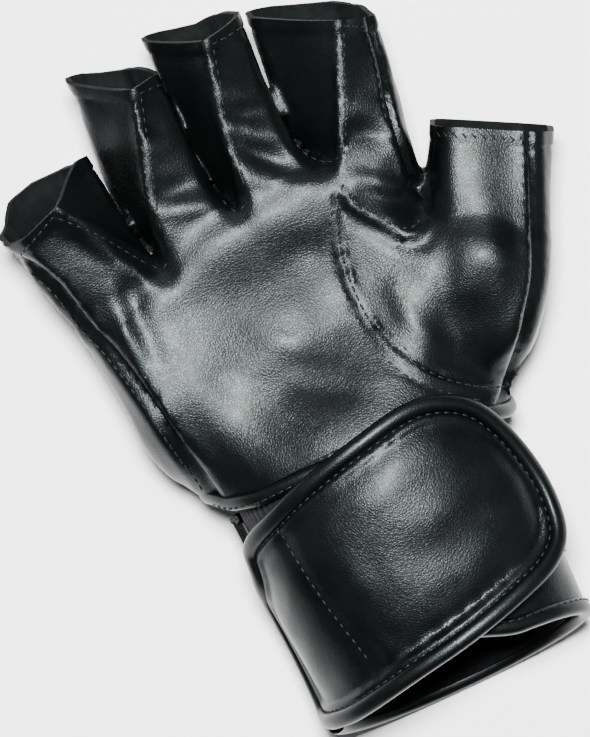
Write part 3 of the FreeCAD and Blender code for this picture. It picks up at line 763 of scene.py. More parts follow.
def relief(P, N, near, G, B):
    x, y = P[:, 0], P[:, 1]
    up = sstep(0.05, 0.45, N[:, 2])
    out = np.zeros(len(P))
    H = np.zeros(len(P))
    for pts, h, w in FOLDS:
        p = np.array(pts)
        lo, hi = p.min(0) - 4 * w, p.max(0) + 4 * w
        m = (x > lo[0]) & (x < hi[0]) & (y > lo[1]) & (y < hi[1]) & (up > 0)
        if not m.any():
            continue
        d, _, al = d_line2(x[m], y[m], smooth_line(pts, 12))
        L = np.linalg.norm(np.diff(p, axis=0), axis=1).sum()
        H[m] += h * bump(d, w) * (0.35 + 0.65 * np.sin(np.pi * np.clip(al / L, 0.06, 0.94)) ** 0.7)
    out += H * up * sstep(0.0, 3.0, G)
    out -= 1.7 * sstep(14.0, -24.0, y + 0.25 * x) * up * sstep(0.0, 9.0, G)
    tm = near == FINGERS.index("thumb")
    tu, _, ts = TUBES["thumb"].local(P[tm])
    out[tm] -= 0.055 * np.clip(tu + 11.0, 0.0, 26.0) * sstep(-16.0, 2.0, ts) * up[tm] * sstep(0.0, 3.0, G[tm])
    # slack of the leather
    out += 0.34 * vnoise(P, 17.0, 3) * (0.35 + 0.65 * sstep(0, 8, np.abs(G))) + 0.16 * vnoise(P, 7.5, 5) * sstep(0, 4, np.abs(G))
    front = sstep(-0.4, 0.4, G)
    high = P[:, 2] > 30
    # the sewn ridges of the fingers: front leather stands up, then a stitch line
    rid = np.zeros(len(P))
    for n in RIDGE:
        d = np.abs(d_line2(x, y, RIDGE[n])[1])
        tall = {"ring": 1.1, "middle": 0.7, "index": 0.7, "pinky": 0.9}[n]
        ok = (np.abs(G) < 6) & high
        rid = np.maximum(rid, np.where(ok, tall * bump(d, 1.15), 0))
    out += rid
    # a gentle groove along every seam of the front
    out -= 0.55 * bump(G, 0.8) * high * (rid < 0.3)
    out += 0.25 * bump(G - 1.6, 1.0) * high
    # palm's little-finger edge and the thumb's outer edge: a deep valley beside a rolled flange
    dl = -d_line2(x, y, PALM_L)[1]
    ll = high * sstep(-0.2, 0.2, N[:, 2])
    out += ll * (-1.5 * bump(dl + 0.2, 1.5) + 0.7 * bump(dl + 3.4, 1.9) * sstep(70, 55, y)) * sstep(84, 74, y)
    dt = -d_line2(x, y, THUMB_R)[1]
    out += ll * (-1.5 * bump(dt + 0.1, 1.3) + 0.35 * bump(dt - 2.6, 1.6) + 0.7 * bump(dt + 3.0, 1.8))
    di = -d_line2(x, y, IDX_R)[1]
    out += ll * (-0.9 * bump(di + 0.1, 1.0) + 0.5 * bump(di + 2.0, 1.2)) * sstep(30, 38, y) * (x > 30)
    # the thumb panel's double-sewn band
    do = -d_line2(x, y, THENAR_OUT)[1]
    dn = sd_poly2(x, y, THENAR_POLY)
    t1 = d_line2(x, y, THENAR_TOP1)[0]
    inner = sstep(-3.4, -0.4, -np.abs(dn)) * 0
    w = up * sstep(36, 44, P[:, 2]) * (1 - sstep(34.5, 40.5, x) * sstep(14, 18, y))
    out += w * (0.55 * bump(dn - 1.9, 1.7) * sstep(4.6, 3.4, dn) - 0.75 * bump(dn + 0.2, 0.8) + 0.3 * bump(dn + 1.5, 0.9)) * sstep(47, 40, -y + 0 * x + 0.0)
    out += w * (-0.5 * bump(d_line2(x, y, THENAR_OUT)[0], 0.8))
    out += w * (-0.35 * bump(t1, 0.7))
    d2 = d_line2(x, y, THENAR_TOP2)
    out += w * (1.0 * bump(d2[1] - 0.2, 1.3) - 1.2 * bump(d2[1] + 2.3, 1.1)) * (d2[0] < 6)
    # back of the hand: knuckle pad and its channels
    back = sstep(0.0, -3.0, B) * sstep(0.2, 0.7, -N[:, 2])
    pad = sstep(0.0, 4.0, -sd_poly2(x, y, KNUCKLE))
    out += back * (2.2 * pad - 1.0 * bump(sd_poly2(x, y, KNUCKLE), 0.9))
    for c in (-44.0, -14.0, 16.0):
        out -= back * pad * 1.7 * bump(x - c - 0.06 * (y - 45), 1.6)
    out -= back * 0.9 * bump(y - 6.0 - 0.0015 * (x + 5) ** 2, 1.0) * sstep(60, 50, np.abs(x + 3))
    out -= back * 0.9 * bump(y + 12.0 - 0.0015 * (x + 5) ** 2, 1.0) * sstep(52, 44, np.abs(x + 5))
    for k, n in enumerate(FINGERS):
        m = near == k
        u, ww, s = TUBES[n].local(P[m])
        if n != "thumb":
            o = back[m] * 1.3 * (sstep(3, 8, s) * sstep(9.5, 7.0, np.abs(u + 0.5))) * sstep(34, 28, s)
            out[m] += o - back[m] * 0.5 * bump(s - 18.0, 1.1) * sstep(9, 7, np.abs(u))
    out -= 0.5 * bump(B, 0.8)
    # hems of the openings
    for k, n in enumerate(FINGERS):
        m = near == k
        o = open_field(P[m], n)
        out[m] += 0.3 * sstep(-4.6, -4.0, o) - 0.28 * bump(o + 4.7, 0.6)
    return out


KNUCKLE = np.array([(-66, 26), (-68, 40), (-60, 50), (-30, 54.5), (0, 56), (28, 55), (37, 50), (37, 34), (30, 27), (0, 30), (-34, 29)], float)


# =====================================================================================
# materials
# =====================================================================================
def node_mat(name):
    m = bpy.data.materials.new(name)
    m.use_nodes = True
    nt = m.node_tree
    return m, nt, nt.nodes["Principled BSDF"]


def link(nt, a, b):
    nt.links.new(a, b)


def noise(nt, vec, scale, detail=3.0, rough=0.55):
    n = nt.nodes.new("ShaderNodeTexNoise")
    n.inputs["Scale"].default_value = scale
    n.inputs["Detail"].default_value = detail
    n.inputs["Roughness"].default_value = rough
    link(nt, vec, n.inputs["Vector"])
    return n.outputs["Fac"]


def ramp(nt, fac, stops):
    r = nt.nodes.new("ShaderNodeValToRGB")
    while len(r.color_ramp.elements) > 1:
        r.color_ramp.elements.remove(r.color_ramp.elements[-1])
    for i, (p, c) in enumerate(stops):
        e = r.color_ramp.elements[0] if i == 0 else r.color_ramp.elements.new(p)
        e.position = p
        e.color = (c[0], c[1], c[2], 1) if hasattr(c, "__len__") else (c, c, c, 1)
    link(nt, fac, r.inputs["Fac"])
    return r.outputs["Color"]


def bump_node(nt, h, strength, dist, prev=None):
    b = nt.nodes.new("ShaderNodeBump")
    b.inputs["Strength"].default_value = strength
    b.inputs["Distance"].default_value = dist
    link(nt, h, b.inputs["Height"])
    if prev is not None:
        link(nt, prev, b.inputs["Normal"])
    return b.outputs["Normal"]


def leather_mat(name, dark, light, rough=(0.34, 0.5), coat=0.015, grain=1.0):
    m, nt, p = node_mat(name)
    co = nt.nodes.new("ShaderNodeTexCoord").outputs["Object"]
    link(nt, ramp(nt, noise(nt, co, 38.0, 4.0), [(0.3, dark), (0.7, light)]), p.inputs["Base Color"])
    link(nt, ramp(nt, noise(nt, co, 90.0, 5.0, 0.62), [(0.32, rough[0]), (0.68, rough[1])]), p.inputs["Roughness"])
    v = nt.nodes.new("ShaderNodeTexVoronoi")
    v.feature = "DISTANCE_TO_EDGE"
    v.inputs["Scale"].default_value = 1250.0
    v.inputs["Randomness"].default_value = 1.0
    link(nt, co, v.inputs["Vector"])
    cells = ramp(nt, v.outputs["Distance"], [(0.0, 0.0), (0.25, 1.0)])
    n1 = bump_node(nt, cells, 0.30 * grain, 0.00010)
    n2 = bump_node(nt, noise(nt, co, 1100.0, 3.0, 0.6), 0.40 * grain, 0.00016, n1)
    n3 = bump_node(nt, noise(nt, co, 110.0, 3.0, 0.5), 0.30, 0.00038, n2)
    link(nt, n3, p.inputs["Normal"])
    p.inputs["Specular IOR Level"].default_value = 0.15
    p.inputs["Specular Tint"].default_value = (0.86, 1.0, 0.98, 1.0)
    p.inputs["Coat Weight"].default_value = coat
    p.inputs["Coat Roughness"].default_value = 0.2
    return m


def cloth_mat(name, dark, light, scale=1500.0, rough=0.85, sheen=0.25):
    m, nt, p = node_mat(name)
    co = nt.nodes.new("ShaderNodeTexCoord").outputs["Object"]
    w1 = nt.nodes.new("ShaderNodeTexWave")
    w1.bands_direction = "DIAGONAL"
    w1.inputs["Scale"].default_value = scale
    w1.inputs["Distortion"].default_value = 2.0
    link(nt, co, w1.inputs["Vector"])
    link(nt, ramp(nt, noise(nt, co, 260.0, 4.0), [(0.3, dark), (0.7, light)]), p.inputs["Base Color"])
    link(nt, ramp(nt, noise(nt, co, 500.0, 2.0), [(0.3, rough - 0.08), (0.7, rough + 0.08)]), p.inputs["Roughness"])
    n1 = bump_node(nt, w1.outputs["Fac"], 0.35, 0.00018)
    link(nt, bump_node(nt, noise(nt, co, 1400.0, 2.0), 0.3, 0.0002, n1), p.inputs["Normal"])
    p.inputs["Sheen Weight"].default_value = sheen
    p.inputs["Specular IOR Level"].default_value = 0.08
    return m


def thread_mat(name):
    m, nt, p = node_mat(name)
    co = nt.nodes.new("ShaderNodeTexCoord").outputs["Object"]
    link(nt, ramp(nt, noise(nt, co, 1600.0, 2.0), [(0.3, (0.0015, 0.0017, 0.0018)), (0.7, (0.005, 0.0055, 0.006))]), p.inputs["Base Color"])
    link(nt, ramp(nt, noise(nt, co, 700.0, 2.0), [(0.3, 0.42), (0.7, 0.6)]), p.inputs["Roughness"])
    link(nt, bump_node(nt, noise(nt, co, 3000.0, 2.0), 0.5, 0.0001), p.inputs["Normal"])
    p.inputs["Specular IOR Level"].default_value = 0.2
    return m


M_LEATHER = leather_mat("black_leather", (0.0006, 0.0008, 0.0008), (0.0018, 0.0022, 0.0022), rough=(0.30, 0.38))
M_PIPING = leather_mat("piping_leather", (0.0006, 0.0008, 0.0008), (0.0018, 0.0022, 0.0022), rough=(0.32, 0.39), coat=0.03, grain=0.7)
M_LINING = cloth_mat("lining_cloth", (0.0016, 0.0022, 0.0022), (0.0036, 0.0044, 0.0045), 1300.0, 0.85, 0.0)
M_EDGE = cloth_mat("cut_edge", (0.0012, 0.0014, 0.0015), (0.003, 0.0034, 0.0035), 700.0, 0.8, 0.0)
M_FOAM = cloth_mat("foam", (0.02, 0.02, 0.021), (0.035, 0.035, 0.036), 500.0, 0.9, 0.1)
M_ELASTIC = cloth_mat("ribbed_elastic", (0.003, 0.0033, 0.0035), (0.007, 0.0075, 0.008), 900.0, 0.8, 0.05)
M_LOOP = cloth_mat("loop_pile", (0.006, 0.006, 0.0065), (0.016, 0.016, 0.017), 2600.0, 0.95, 0.15)
M_HOOK = cloth_mat("hook_tape", (0.010, 0.010, 0.011), (0.020, 0.020, 0.021), 2000.0, 0.5, 0.0)
M_THREAD = thread_mat("black_thread")
MATS = {"leather": M_LEATHER, "piping": M_PIPING, "lining": M_LINING, "foam": M_FOAM, "elastic": M_ELASTIC, "loop_pile": M_LOOP,
        "hook_tape": M_HOOK, "thread": M_THREAD}


# =====================================================================================
# making pieces
# =====================================================================================
def emit(name, V, parts, slot, ride=None, blend=None, replaces=(), fill=None, mats=None):
    """parts: list of (faces, loop normals or None, material index)."""
    me = bpy.data.meshes.new(name)
    me.vertices.add(len(V))
    me.vertices.foreach_set("co", put(V).astype(np.float32).ravel())
    flat = np.concatenate([f.ravel() for f, _, _ in parts]).astype(np.int32)
    cnt = np.concatenate([np.full(len(f), f.shape[1]) for f, _, _ in parts]).astype(np.int32)
    me.loops.add(len(flat))
    me.loops.foreach_set("vertex_index", flat)
    me.polygons.add(len(cnt))
    me.polygons.foreach_set("loop_start", np.concatenate([[0], np.cumsum(cnt)[:-1]]).astype(np.int32))
    me.polygons.foreach_set("material_index", np.concatenate([np.full(len(f), mi) for f, _, mi in parts]).astype(np.int32))
    me.update(calc_edges=True)
    me.polygons.foreach_set("use_smooth", np.ones(len(cnt), bool))
    for m in (mats or [MATS[slot]]):
        me.materials.append(m)
    if any(n is not None for _, n, _ in parts):
        ln = []
        for f, n, _ in parts:
            if n is None:
                a, b, c = V[f[:, 0]], V[f[:, 1]], V[f[:, 2]]
                fn = unit(np.cross(b - a, c - a))
                n = np.repeat(fn, f.shape[1], axis=0)
            ln.append(n)
        me.normals_split_custom_set(np.vstack(ln).tolist())
    o = bpy.data.objects.new(name, me)
    bpy.context.scene.collection.objects.link(o)
    if blend:
        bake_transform(o)
    else:
        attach(o, ride)
    if replaces:
        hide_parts(*replaces)
    return o


def shell(name, Vo, Vi, No, F, slot, inner="lining", **kw):
    """A closed sheet: outer points Vo, inner points Vi, triangles F of the outer side."""
    if len(F) == 0:
        say("EMPTY", name)
        return None
    used, inv = np.unique(F, return_inverse=True)
    F = inv.reshape(-1, 3)
    n = len(used)
    V = np.vstack([Vo[used], Vi[used]])
    N = No[used]
    E = boundary_edges(F)
    rim = np.stack([E[:, 1], E[:, 0], E[:, 0] + n, E[:, 1] + n], 1)
    Fi = F[:, ::-1] + n
    mats = [MATS[slot]] + ([MATS[inner]] if inner else [])
    mi = 1 if inner else 0
    parts = [(F, N[F.ravel()], 0), (Fi, -N[F[:, ::-1].ravel()], mi)]
    if len(rim):
        parts.append((rim, None, len(mats)))
        mats.append(M_EDGE)
    return emit(name, V, parts, slot, mats=mats, **kw)


def resample(path, step, closed=False):
    p = np.asarray(path, float)
    if closed:
        p = np.vstack([p, p[:1]])
    L = np.concatenate([[0], np.cumsum(np.linalg.norm(np.diff(p, axis=0), axis=1))])
    n = max(2, int(round(L[-1] / step)))
    at = np.linspace(0, L[-1], n + 1)
    q = np.stack([np.interp(at, L, p[:, k]) for k in range(p.shape[1])], 1)
    return q[:-1] if closed else q


def sweep(path, normals, section, closed=False, scale=None):
    """A closed tube of the section (side, normal) along a path with surface normals."""
    p = np.asarray(path, float)
    n = len(p)
    if closed:
        t = unit(np.roll(p, -1, 0) - np.roll(p, 1, 0))
    else:
        t = unit(np.gradient(p, axis=0))
    nn = unit(normals - (normals * t).sum(1, keepdims=True) * t)
    b = np.cross(t, nn)
    sec = np.asarray(section, float)
    k = len(sec)
    sc = np.ones(n) if scale is None else scale
    V = p[:, None, :] + (b[:, None, :] * sec[None, :, 0:1] + nn[:, None, :] * sec[None, :, 1:2]) * sc[:, None, None]
    V = V.reshape(-1, 3)
    i = np.arange(n if closed else n - 1)
    j = np.arange(k)
    I, J = np.meshgrid(i, j, indexing="ij")
    I2 = (I + 1) % n
    J2 = (J + 1) % k
    Q = np.stack([I * k + J, I2 * k + J, I2 * k + J2, I * k + J2], -1).reshape(-1, 4)
    parts = [(Q, None, 0)]
    if not closed:
        V = np.vstack([V, p[0], p[-1]])
        a, c = n * k, n * k + 1
        parts.append((np.stack([np.full(k, a), j, (j + 1) % k], 1), None, 0))
        e = (n - 1) * k
        parts.append((np.stack([np.full(k, c), e + (j + 1) % k, e + j], 1), None, 0))
    return V, parts


def tube_piece(name, path, normals, section, slot, closed=False, **kw):
    V, parts = sweep(path, normals, section, closed)
    a = V[parts[0][0]]
    c = a.mean(1)
    q = parts[0][0]
    fn = np.cross(a[:, 1] - a[:, 0], a[:, 3] - a[:, 0])
    mid = V[:len(path) * len(section)].reshape(len(path), -1, 3).mean(1)
    k = len(section)
    out = c - mid[(q[:, 0] // k)]
    if (fn * out).sum() < 0:
        parts = [(f[:, ::-1], None, m) for f, _, m in parts]
    q = parts[0][0]
    vn = vertex_normals(V, q)
    parts = [(q, vn[q.ravel()], 0)] + parts[1:]
    return emit(name, V, parts, slot, **kw)


def oval(a, b, n=14, power=2.3):
    t = np.linspace(0, 2 * np.pi, n, endpoint=False)
    c, s = np.cos(t), np.sin(t)
    return np.stack([a * np.sign(c) * np.abs(c) ** (2 / power), b * np.sign(s) * np.abs(s) ** (2 / power)], 1)


STITCH = []


def stitch_run(path, normals, pitch=3.0, length=2.15, r=0.34, lift=0.1, tilt=0.0):
    """Small capsules in a row."""
    p6 = np.hstack([path, normals])
    L = np.concatenate([[0], np.cumsum(np.linalg.norm(np.diff(p6[:, :3], axis=0), axis=1))])
    n = int(L[-1] / pitch)
    if n < 1:
        return np.zeros((0, 3)), np.zeros((0, 4), int), np.zeros((0, 3), int)
    at = (np.arange(n) + 0.5) * L[-1] / n
    c = np.stack([np.interp(at, L, p6[:, k]) for k in range(6)], 1)
    a = np.stack([np.interp(np.maximum(at - length / 2, 0), L, p6[:, k]) for k in range(3)], 1)
    b = np.stack([np.interp(np.minimum(at + length / 2, L[-1]), L, p6[:, k]) for k in range(3)], 1)
    t = unit(b - a)
    nn = unit(c[:, 3:])
    nn = unit(nn - (nn * t).sum(1, keepdims=True) * t)
    s = np.cross(t, nn)
    if tilt:
        t2 = unit(t + s * tilt)
        s = unit(np.cross(t2, nn))
        t = t2
    K = 6
    ang = np.arange(K) * 2 * np.pi / K
    rings = [(-0.5, 0.35, -0.30), (-0.34, 0.95, -0.05), (0.0, 1.05, 0.08), (0.34, 0.95, -0.05), (0.5, 0.35, -0.30)]
    V = []
    for f, rr, up in rings:
        for w in ang:
            V.append(c[:, :3] + t * (f * length) + (s * math.cos(w) * r + nn * math.sin(w) * r * 0.8) * rr + nn * (lift + up * r * 1.6))
    V = np.stack(V, 1)
    m = V.shape[1]
    q = []
    for i in range(len(rings) - 1):
        for j in range(K):
            q.append((i * K + j, i * K + (j + 1) % K, (i + 1) * K + (j + 1) % K, (i + 1) * K + j))
    q = np.array(q)
    tr = []
    for j in range(1, K - 1):
        tr.append((0, j + 1, j))
        e = (len(rings) - 1) * K
        tr.append((e, e + j, e + j + 1))
    tr = np.array(tr)
    base = (np.arange(n) * m)[:, None, None]
    # outward faces
    return V.reshape(-1, 3), (q[None] + base).reshape(-1, 4)[:, ::-1], (tr[None] + base).reshape(-1, 3)[:, ::-1]


def stitch_piece(name, runs, **kw):
    Vs, Qs, Ts, n = [], [], [], 0
    for r in runs:
        v, q, t = r
        if len(v) == 0:
            continue
        Vs.append(v)
        Qs.append(q + n)
        Ts.append(t + n)
        n += len(v)
    if not Vs:
        say("no stitches", name)
        return None
    return emit(name, np.vstack(Vs), [(np.vstack(Qs), None, 0), (np.vstack(Ts), None, 0)], "thread", **kw)


# =====================================================================================
# the hand shell
# =====================================================================================
def build_surface(h):
    lo, hi = np.array([-96.0, -52.0, -6.0]), np.array([100.0, 124.0, 74.0])
    ax = [np.arange(lo[k], hi[k], h) for k in range(3)]
    X = np.meshgrid(*ax, indexing="ij")
    P = np.stack([a.ravel() for a in X], 1)
    f = np.concatenate([field(P[i:i + 200000]) for i in range(0, len(P), 200000)]).reshape(X[0].shape)
    V, Q = surface_nets(f, lo, h)
    return project(V, 3), Q


def drop(xy, z0=80.0):
    """Points on the top of the surface over plan points, and their normals."""
    P = np.column_stack([np.asarray(xy, float), np.full(len(xy), z0)])
    for _ in range(45):
        f = field(P)
        P[:, 2] -= np.clip(f, -1.5, 6.0) * 0.85
    return P, unit(gradient(P))


def on_leather(xy):
    P, N = drop(xy)
    g, b, near = pattern(P, fields(P)[1])
    return P + N * relief(P, N, near, g, b)[:, None], N


V0, Q0 = build_surface(2.5)
say("surface", len(V0))
V, Q = subdivide_quads(V0, Q0)
V = project(V, 2)
F = tri(Q)


def cut_all(g_of, keep=None, offsets=(0.0,), mask_of=None, near=0.2):
    global V, F
    for o in offsets:
        g = g_of(V) - o
        m = np.ones(len(F), bool) if mask_of is None else mask_of(V, F)
        V2, F2, g2, par, src, tw = cut(V, F, g, m, near)
        V, F = V2, F2
        if keep is not None:
            gm = g2[F].mean(1)
            sel = m[par]
            F = F[~(sel & (gm > 0))] if keep == "below" else F[~(sel & (gm < 0))]
            V, F = compact(V, F)


def near_of(P):
    t = fields(P)[1]
    return np.argmin(np.stack([t[n] for n in FINGERS]), axis=0)


cut_all(wrist_cut, keep="below")
for k, n in enumerate(FINGERS):
    def mask(Vv, Ff, k=k, n=n):
        nb = near_of(Vv)
        s = TUBES[n].local(Vv)[2]
        return ((nb == k) & (s > 10))[Ff].all(1)
    cut_all(lambda P, n=n: open_field(P, n), keep="below", mask_of=mask)
    cut_all(lambda P, n=n: open_field(P, n), offsets=(-4.7,), mask_of=mask)
    cut_all(lambda P, n=n: border_field(P, n), mask_of=lambda Vv, Ff, k=k, n=n: ((near_of(Vv) == k) & (TUBES[n].local(Vv)[2] > -9))[Ff].all(1))
_c = V[F].mean(1)
_n = near_of(_c)
_drop = np.zeros(len(F), bool)
for k, n in enumerate(FINGERS):
    _m = _n == k
    _drop[_m] = (open_field(_c[_m], n) > 0.02) & (TUBES[n].local(_c[_m])[2] > 12)
F = F[~_drop]
V, F = compact(V, F)
say("cut openings", len(V), len(F))


def front_mask(Vv, Ff):
    c = Vv[Ff].mean(1)
    return c[:, 2] > 30


def g_front(P):
    return pattern(P, fields(P)[1])[0]


def g_back(P):
    return pattern(P, fields(P)[1])[1]


cut_all(g_front, offsets=(0.0, -1.2, 1.2, 2.6), mask_of=front_mask)
cut_all(g_back, offsets=(0.0,), mask_of=lambda Vv, Ff: Vv[Ff].mean(1)[:, 2] < 40)
thenar = lambda P: sd_poly2(P[:, 0], P[:, 1], THENAR_POLY)
top_mask = lambda Vv, Ff: (Vv[Ff].mean(1)[:, 2] > 38) & (Vv[Ff].mean(1)[:, 0] < 52)
cut_all(thenar, offsets=(0.0, -1.2, 1.6, 3.6), mask_of=top_mask)
say("cut seams", len(V), len(F))

TF = fields(V)[1]
G, B, NEAR = pattern(V, TF)
N0 = unit(gradient(V))
REL = relief(V, N0, NEAR, G, B)
VO = V + N0 * REL[:, None]
NO = soften(VO, F, vertex_normals(VO, F), 3)
ND = vertex_normals(V, F)
VI = V + N0 * np.minimum(-1.35, REL - 0.9)[:, None]

fG, fB = G[F].mean(1), B[F].mean(1)
C = V[F].mean(1)
fnear = near_of(C)
beyond = np.zeros(len(F), bool)
hem = np.zeros(len(F), bool)
for k, n in enumerate(FINGERS):
    m = fnear == k
    s = TUBES[n].local(C[m])[2]
    bf = border_field(C[m], n)
    idx = np.flatnonzero(m)
    beyond[idx] = (bf > 0) & (s > -9)
    hem[idx] = open_field(C[m], n) > -4.7
is_back = (fB < 0) & (C[:, 2] < 45)
is_front = (fG > 0) & ~is_back
is_thenar = sd_poly2(C[:, 0], C[:, 1], THENAR_POLY) < 0

DIRS = {n: np.array([BORDER[n][1][0], BORDER[n][1][1], 0.0]) for n in FINGERS}


def finger_blend(n):
    a = np.array([BORDER[n][0][0], BORDER[n][0][1], 36.0])
    return ("hand", n, a, a + DIRS[n] * 19.5)


for k, n in enumerate(FINGERS):
    m = beyond & (fnear == k)
    u = TUBES[n].local(C)[0]
    cu = {"index": 0, "middle": 0, "ring": 0, "pinky": 0, "thumb": 0}[n]
    bl = finger_blend(n)
    front, back = m & is_front & ~hem, m & is_back & ~hem
    side = m & ~is_front & ~is_back & ~hem
    shell(n + "_front", VO, VI, NO, F[front], "leather", blend=bl, replaces=[n + "_front"])
    shell(n + "_back", VO, VI, NO, F[back], "leather", blend=bl, replaces=[n + "_back"])
    shell(n + "_ulnar_wall", VO, VI, NO, F[side & (u < cu)], "leather", blend=bl, replaces=[n + "_ulnar_wall"])
    shell(n + "_radial_wall", VO, VI, NO, F[side & (u >= cu)], "leather", blend=bl, replaces=[n + "_radial_wall"])
    shell(n + "_hem", VO, V + N0 * np.minimum(-1.45, REL - 0.95)[:, None], NO, F[m & hem], "leather", blend=bl, replaces=[n + "_hem"])

hand = ~beyond
side = hand & ~is_front & ~is_back
shell("palm_panel", VO, VI, NO, F[hand & is_front & ~is_thenar], "leather", ride="hand", replaces=["palm_panel"])
shell("thenar_panel", VO, VI, NO, F[hand & is_front & is_thenar], "leather", ride="hand", replaces=["thenar_panel"])
shell("back_panel", VO, VI, NO, F[hand & is_back], "leather", ride="hand", replaces=["back_panel"])
web = side & (C[:, 1] > 47) & (C[:, 0] < 40)
shell("ulnar_side_panel", VO, VI, NO, F[side & ~web & (C[:, 0] < 0)], "leather", ride="hand", replaces=["ulnar_side_panel"])
shell("radial_side_panel", VO, VI, NO, F[side & ~web & (C[:, 0] >= 0) & (C[:, 1] > 22)], "leather", ride="hand", replaces=["radial_side_panel"])
shell("thenar_side_panel", VO, VI, NO, F[side & ~web & (C[:, 0] >= 0) & (C[:, 1] <= 22)], "leather", ride="hand", replaces=["thenar_side_panel"])
shell("finger_webs", VO, VI, NO, F[web], "leather", ride="hand")
say("panels")

# linings and foams, on the coarse surface
FC = tri(Q0)
NC = unit(gradient(V0))
CC = V0[FC].mean(1)
gC, bC, nC = pattern(CC, fields(CC)[1])
inside = wrist_cut(CC) < -3.0
bey = np.zeros(len(FC), bool)
deep_in = np.ones(len(FC), bool)
for k, n in enumerate(FINGERS):
    m = nC == k
    inside[m] &= open_field(CC[m], n) < -5.2
    deep_in[m] = open_field(CC[m], n) < -11.0
    bey[m] = (border_field(CC[m], n) > 0.0) & (TUBES[n].local(CC[m])[2] > -9)
upc = NC[FC].mean(1)[:, 2]


def layer(name, mask, t0, t1, slot, **kw):
    return shell(name, V0 - NC * t0, V0 - NC * t1, NC, FC[mask & inside], slot, inner=None, **kw)


layer("palm_lining", ~bey & (gC > 1.5) & (upc > 0.3), 3.0, 3.6, "lining", ride="hand", replaces=["palm_lining"])
layer("back_foam", ~bey & (bC < -2) & (upc < -0.4) & (CC[:, 1] < 27), 2.3, 5.5, "foam", ride="hand", replaces=["back_foam"], fill=0.7)
layer("knuckle_foam", ~bey & (bC < -2) & (upc < -0.4) & (CC[:, 1] > 28), 2.3, 6.0, "foam", ride="hand", replaces=["knuckle_foam"], fill=0.8)
layer("back_lining", ~bey & (bC < -2) & (upc < -0.4), 6.2, 6.8, "lining", ride="hand", replaces=["back_lining"])
for k, n in enumerate(FINGERS):
    layer(n + "_pad", bey & (nC == k) & (bC < -1) & (upc < -0.3) & deep_in, 2.2, 4.0, "foam", blend=finger_blend(n), replaces=[n + "_pad"], fill=0.6)
say("linings")


# =====================================================================================
# the strap's flap, on an ellipse over the wrist
# =====================================================================================
FX, FZ, FBZ = -11.5, 31.8, 35.0


def flap_a(th):
    return np.where(np.cos(th) > 0, 53.5, 47.5)


_th = np.radians(np.linspace(205.0, -6.0, 900))
_fx, _fz = FX + flap_a(_th) * np.cos(_th), FZ + FBZ * np.sin(_th)
_S = np.concatenate([[0], np.cumsum(np.hypot(np.diff(_fx), np.diff(_fz)))])


def th_of_s(s):
    return np.interp(s, _S, _th)


def s_of_th(th):
    return np.interp(-np.asarray(th), -_th, _S)


def s_of_x(x):
    x = np.asarray(x, float)
    a = np.where(x > FX, 53.5, 47.5)
    return s_of_th(np.arccos(np.clip((x - FX) / a, -1, 1)))


def flap_pt(s, y, off):
    th = th_of_s(s)
    a = flap_a(th)
    n = unit(np.stack([np.cos(th) / a, 0 * th, np.sin(th) / FBZ], 1))
    p = np.stack([FX + a * np.cos(th), y, FZ + FBZ * np.sin(th)], 1)
    return p + n * np.reshape(off, (-1, 1)), n


FLAP_XY = [(-57.2, -39.6), (-45.4, -33.3), (-33.0, -29.2), (-13.6, -25.0), (5.2, -22.2), (17.8, -24.7), (27.6, -32.7), (33.6, -48.5), (35.7, -65.1),
           (33.6, -79.7), (26.0, -88.0), (11.5, -92.9), (-7.9, -97.1), (-26.6, -99.9), (-45.6, -103.0), (-54.4, -103.6)]
_ol = [(float(s_of_x(x)), y) for x, y in FLAP_XY]
_ol += [(float(s_of_th(math.radians(a))), y) for a, y in ((182, -102.0), (193, -96.0), (196, -82.0), (195, -68.0), (188, -57.0), (173, -49.0))]
FLAP_OUT = smooth_line(_ol, 260, closed=True)


def flap_d(s, y):
    return -sd_poly2(s, y, FLAP_OUT)


def grid(s0, s1, y0, y1, step):
    a, b = np.arange(s0, s1 + step, step), np.arange(y0, y1 + step, step)
    S, Y = np.meshgrid(a, b, indexing="ij")
    i, j = np.meshgrid(np.arange(len(a) - 1), np.arange(len(b) - 1), indexing="ij")
    k = (i * len(b) + j).ravel()
    q = np.stack([k, k + len(b), k + len(b) + 1, k + 1], 1)
    return np.stack([S.ravel(), Y.ravel()], 1), q


STRAP_LINE = [(-47.0, -36.0), (-46.4, -38.7), (-44.4, -52.2), (-42.6, -69.4), (-40.5, -82.5), (-38.9, -93.8), (-38.5, -98.0)]
FLAP_FOLDS = [([(-39.0, -80.6), (-36.6, -87.7), (-36.9, -93.6)], -0.9, 1.6), ([(-34.0, -84.0), (-31.0, -91.0)], 0.6, 2.2),
              ([(10.0, -84.0), (-6.0, -88.0), (-22.0, -90.5)], -0.8, 4.0), ([(-30.0, -44.0), (-8.0, -38.0), (10.0, -37.0)], 0.7, 7.0),
              ([(24.0, -50.0), (25.0, -64.0), (20.0, -76.0)], 0.6, 5.0), ([(-22.0, -60.0), (-2.0, -66.0), (12.0, -63.0)], -0.7, 7.0),
              ([(-36.0, -50.0), (-31.0, -66.0), (-28.0, -80.0)], 0.5, 5.0)]


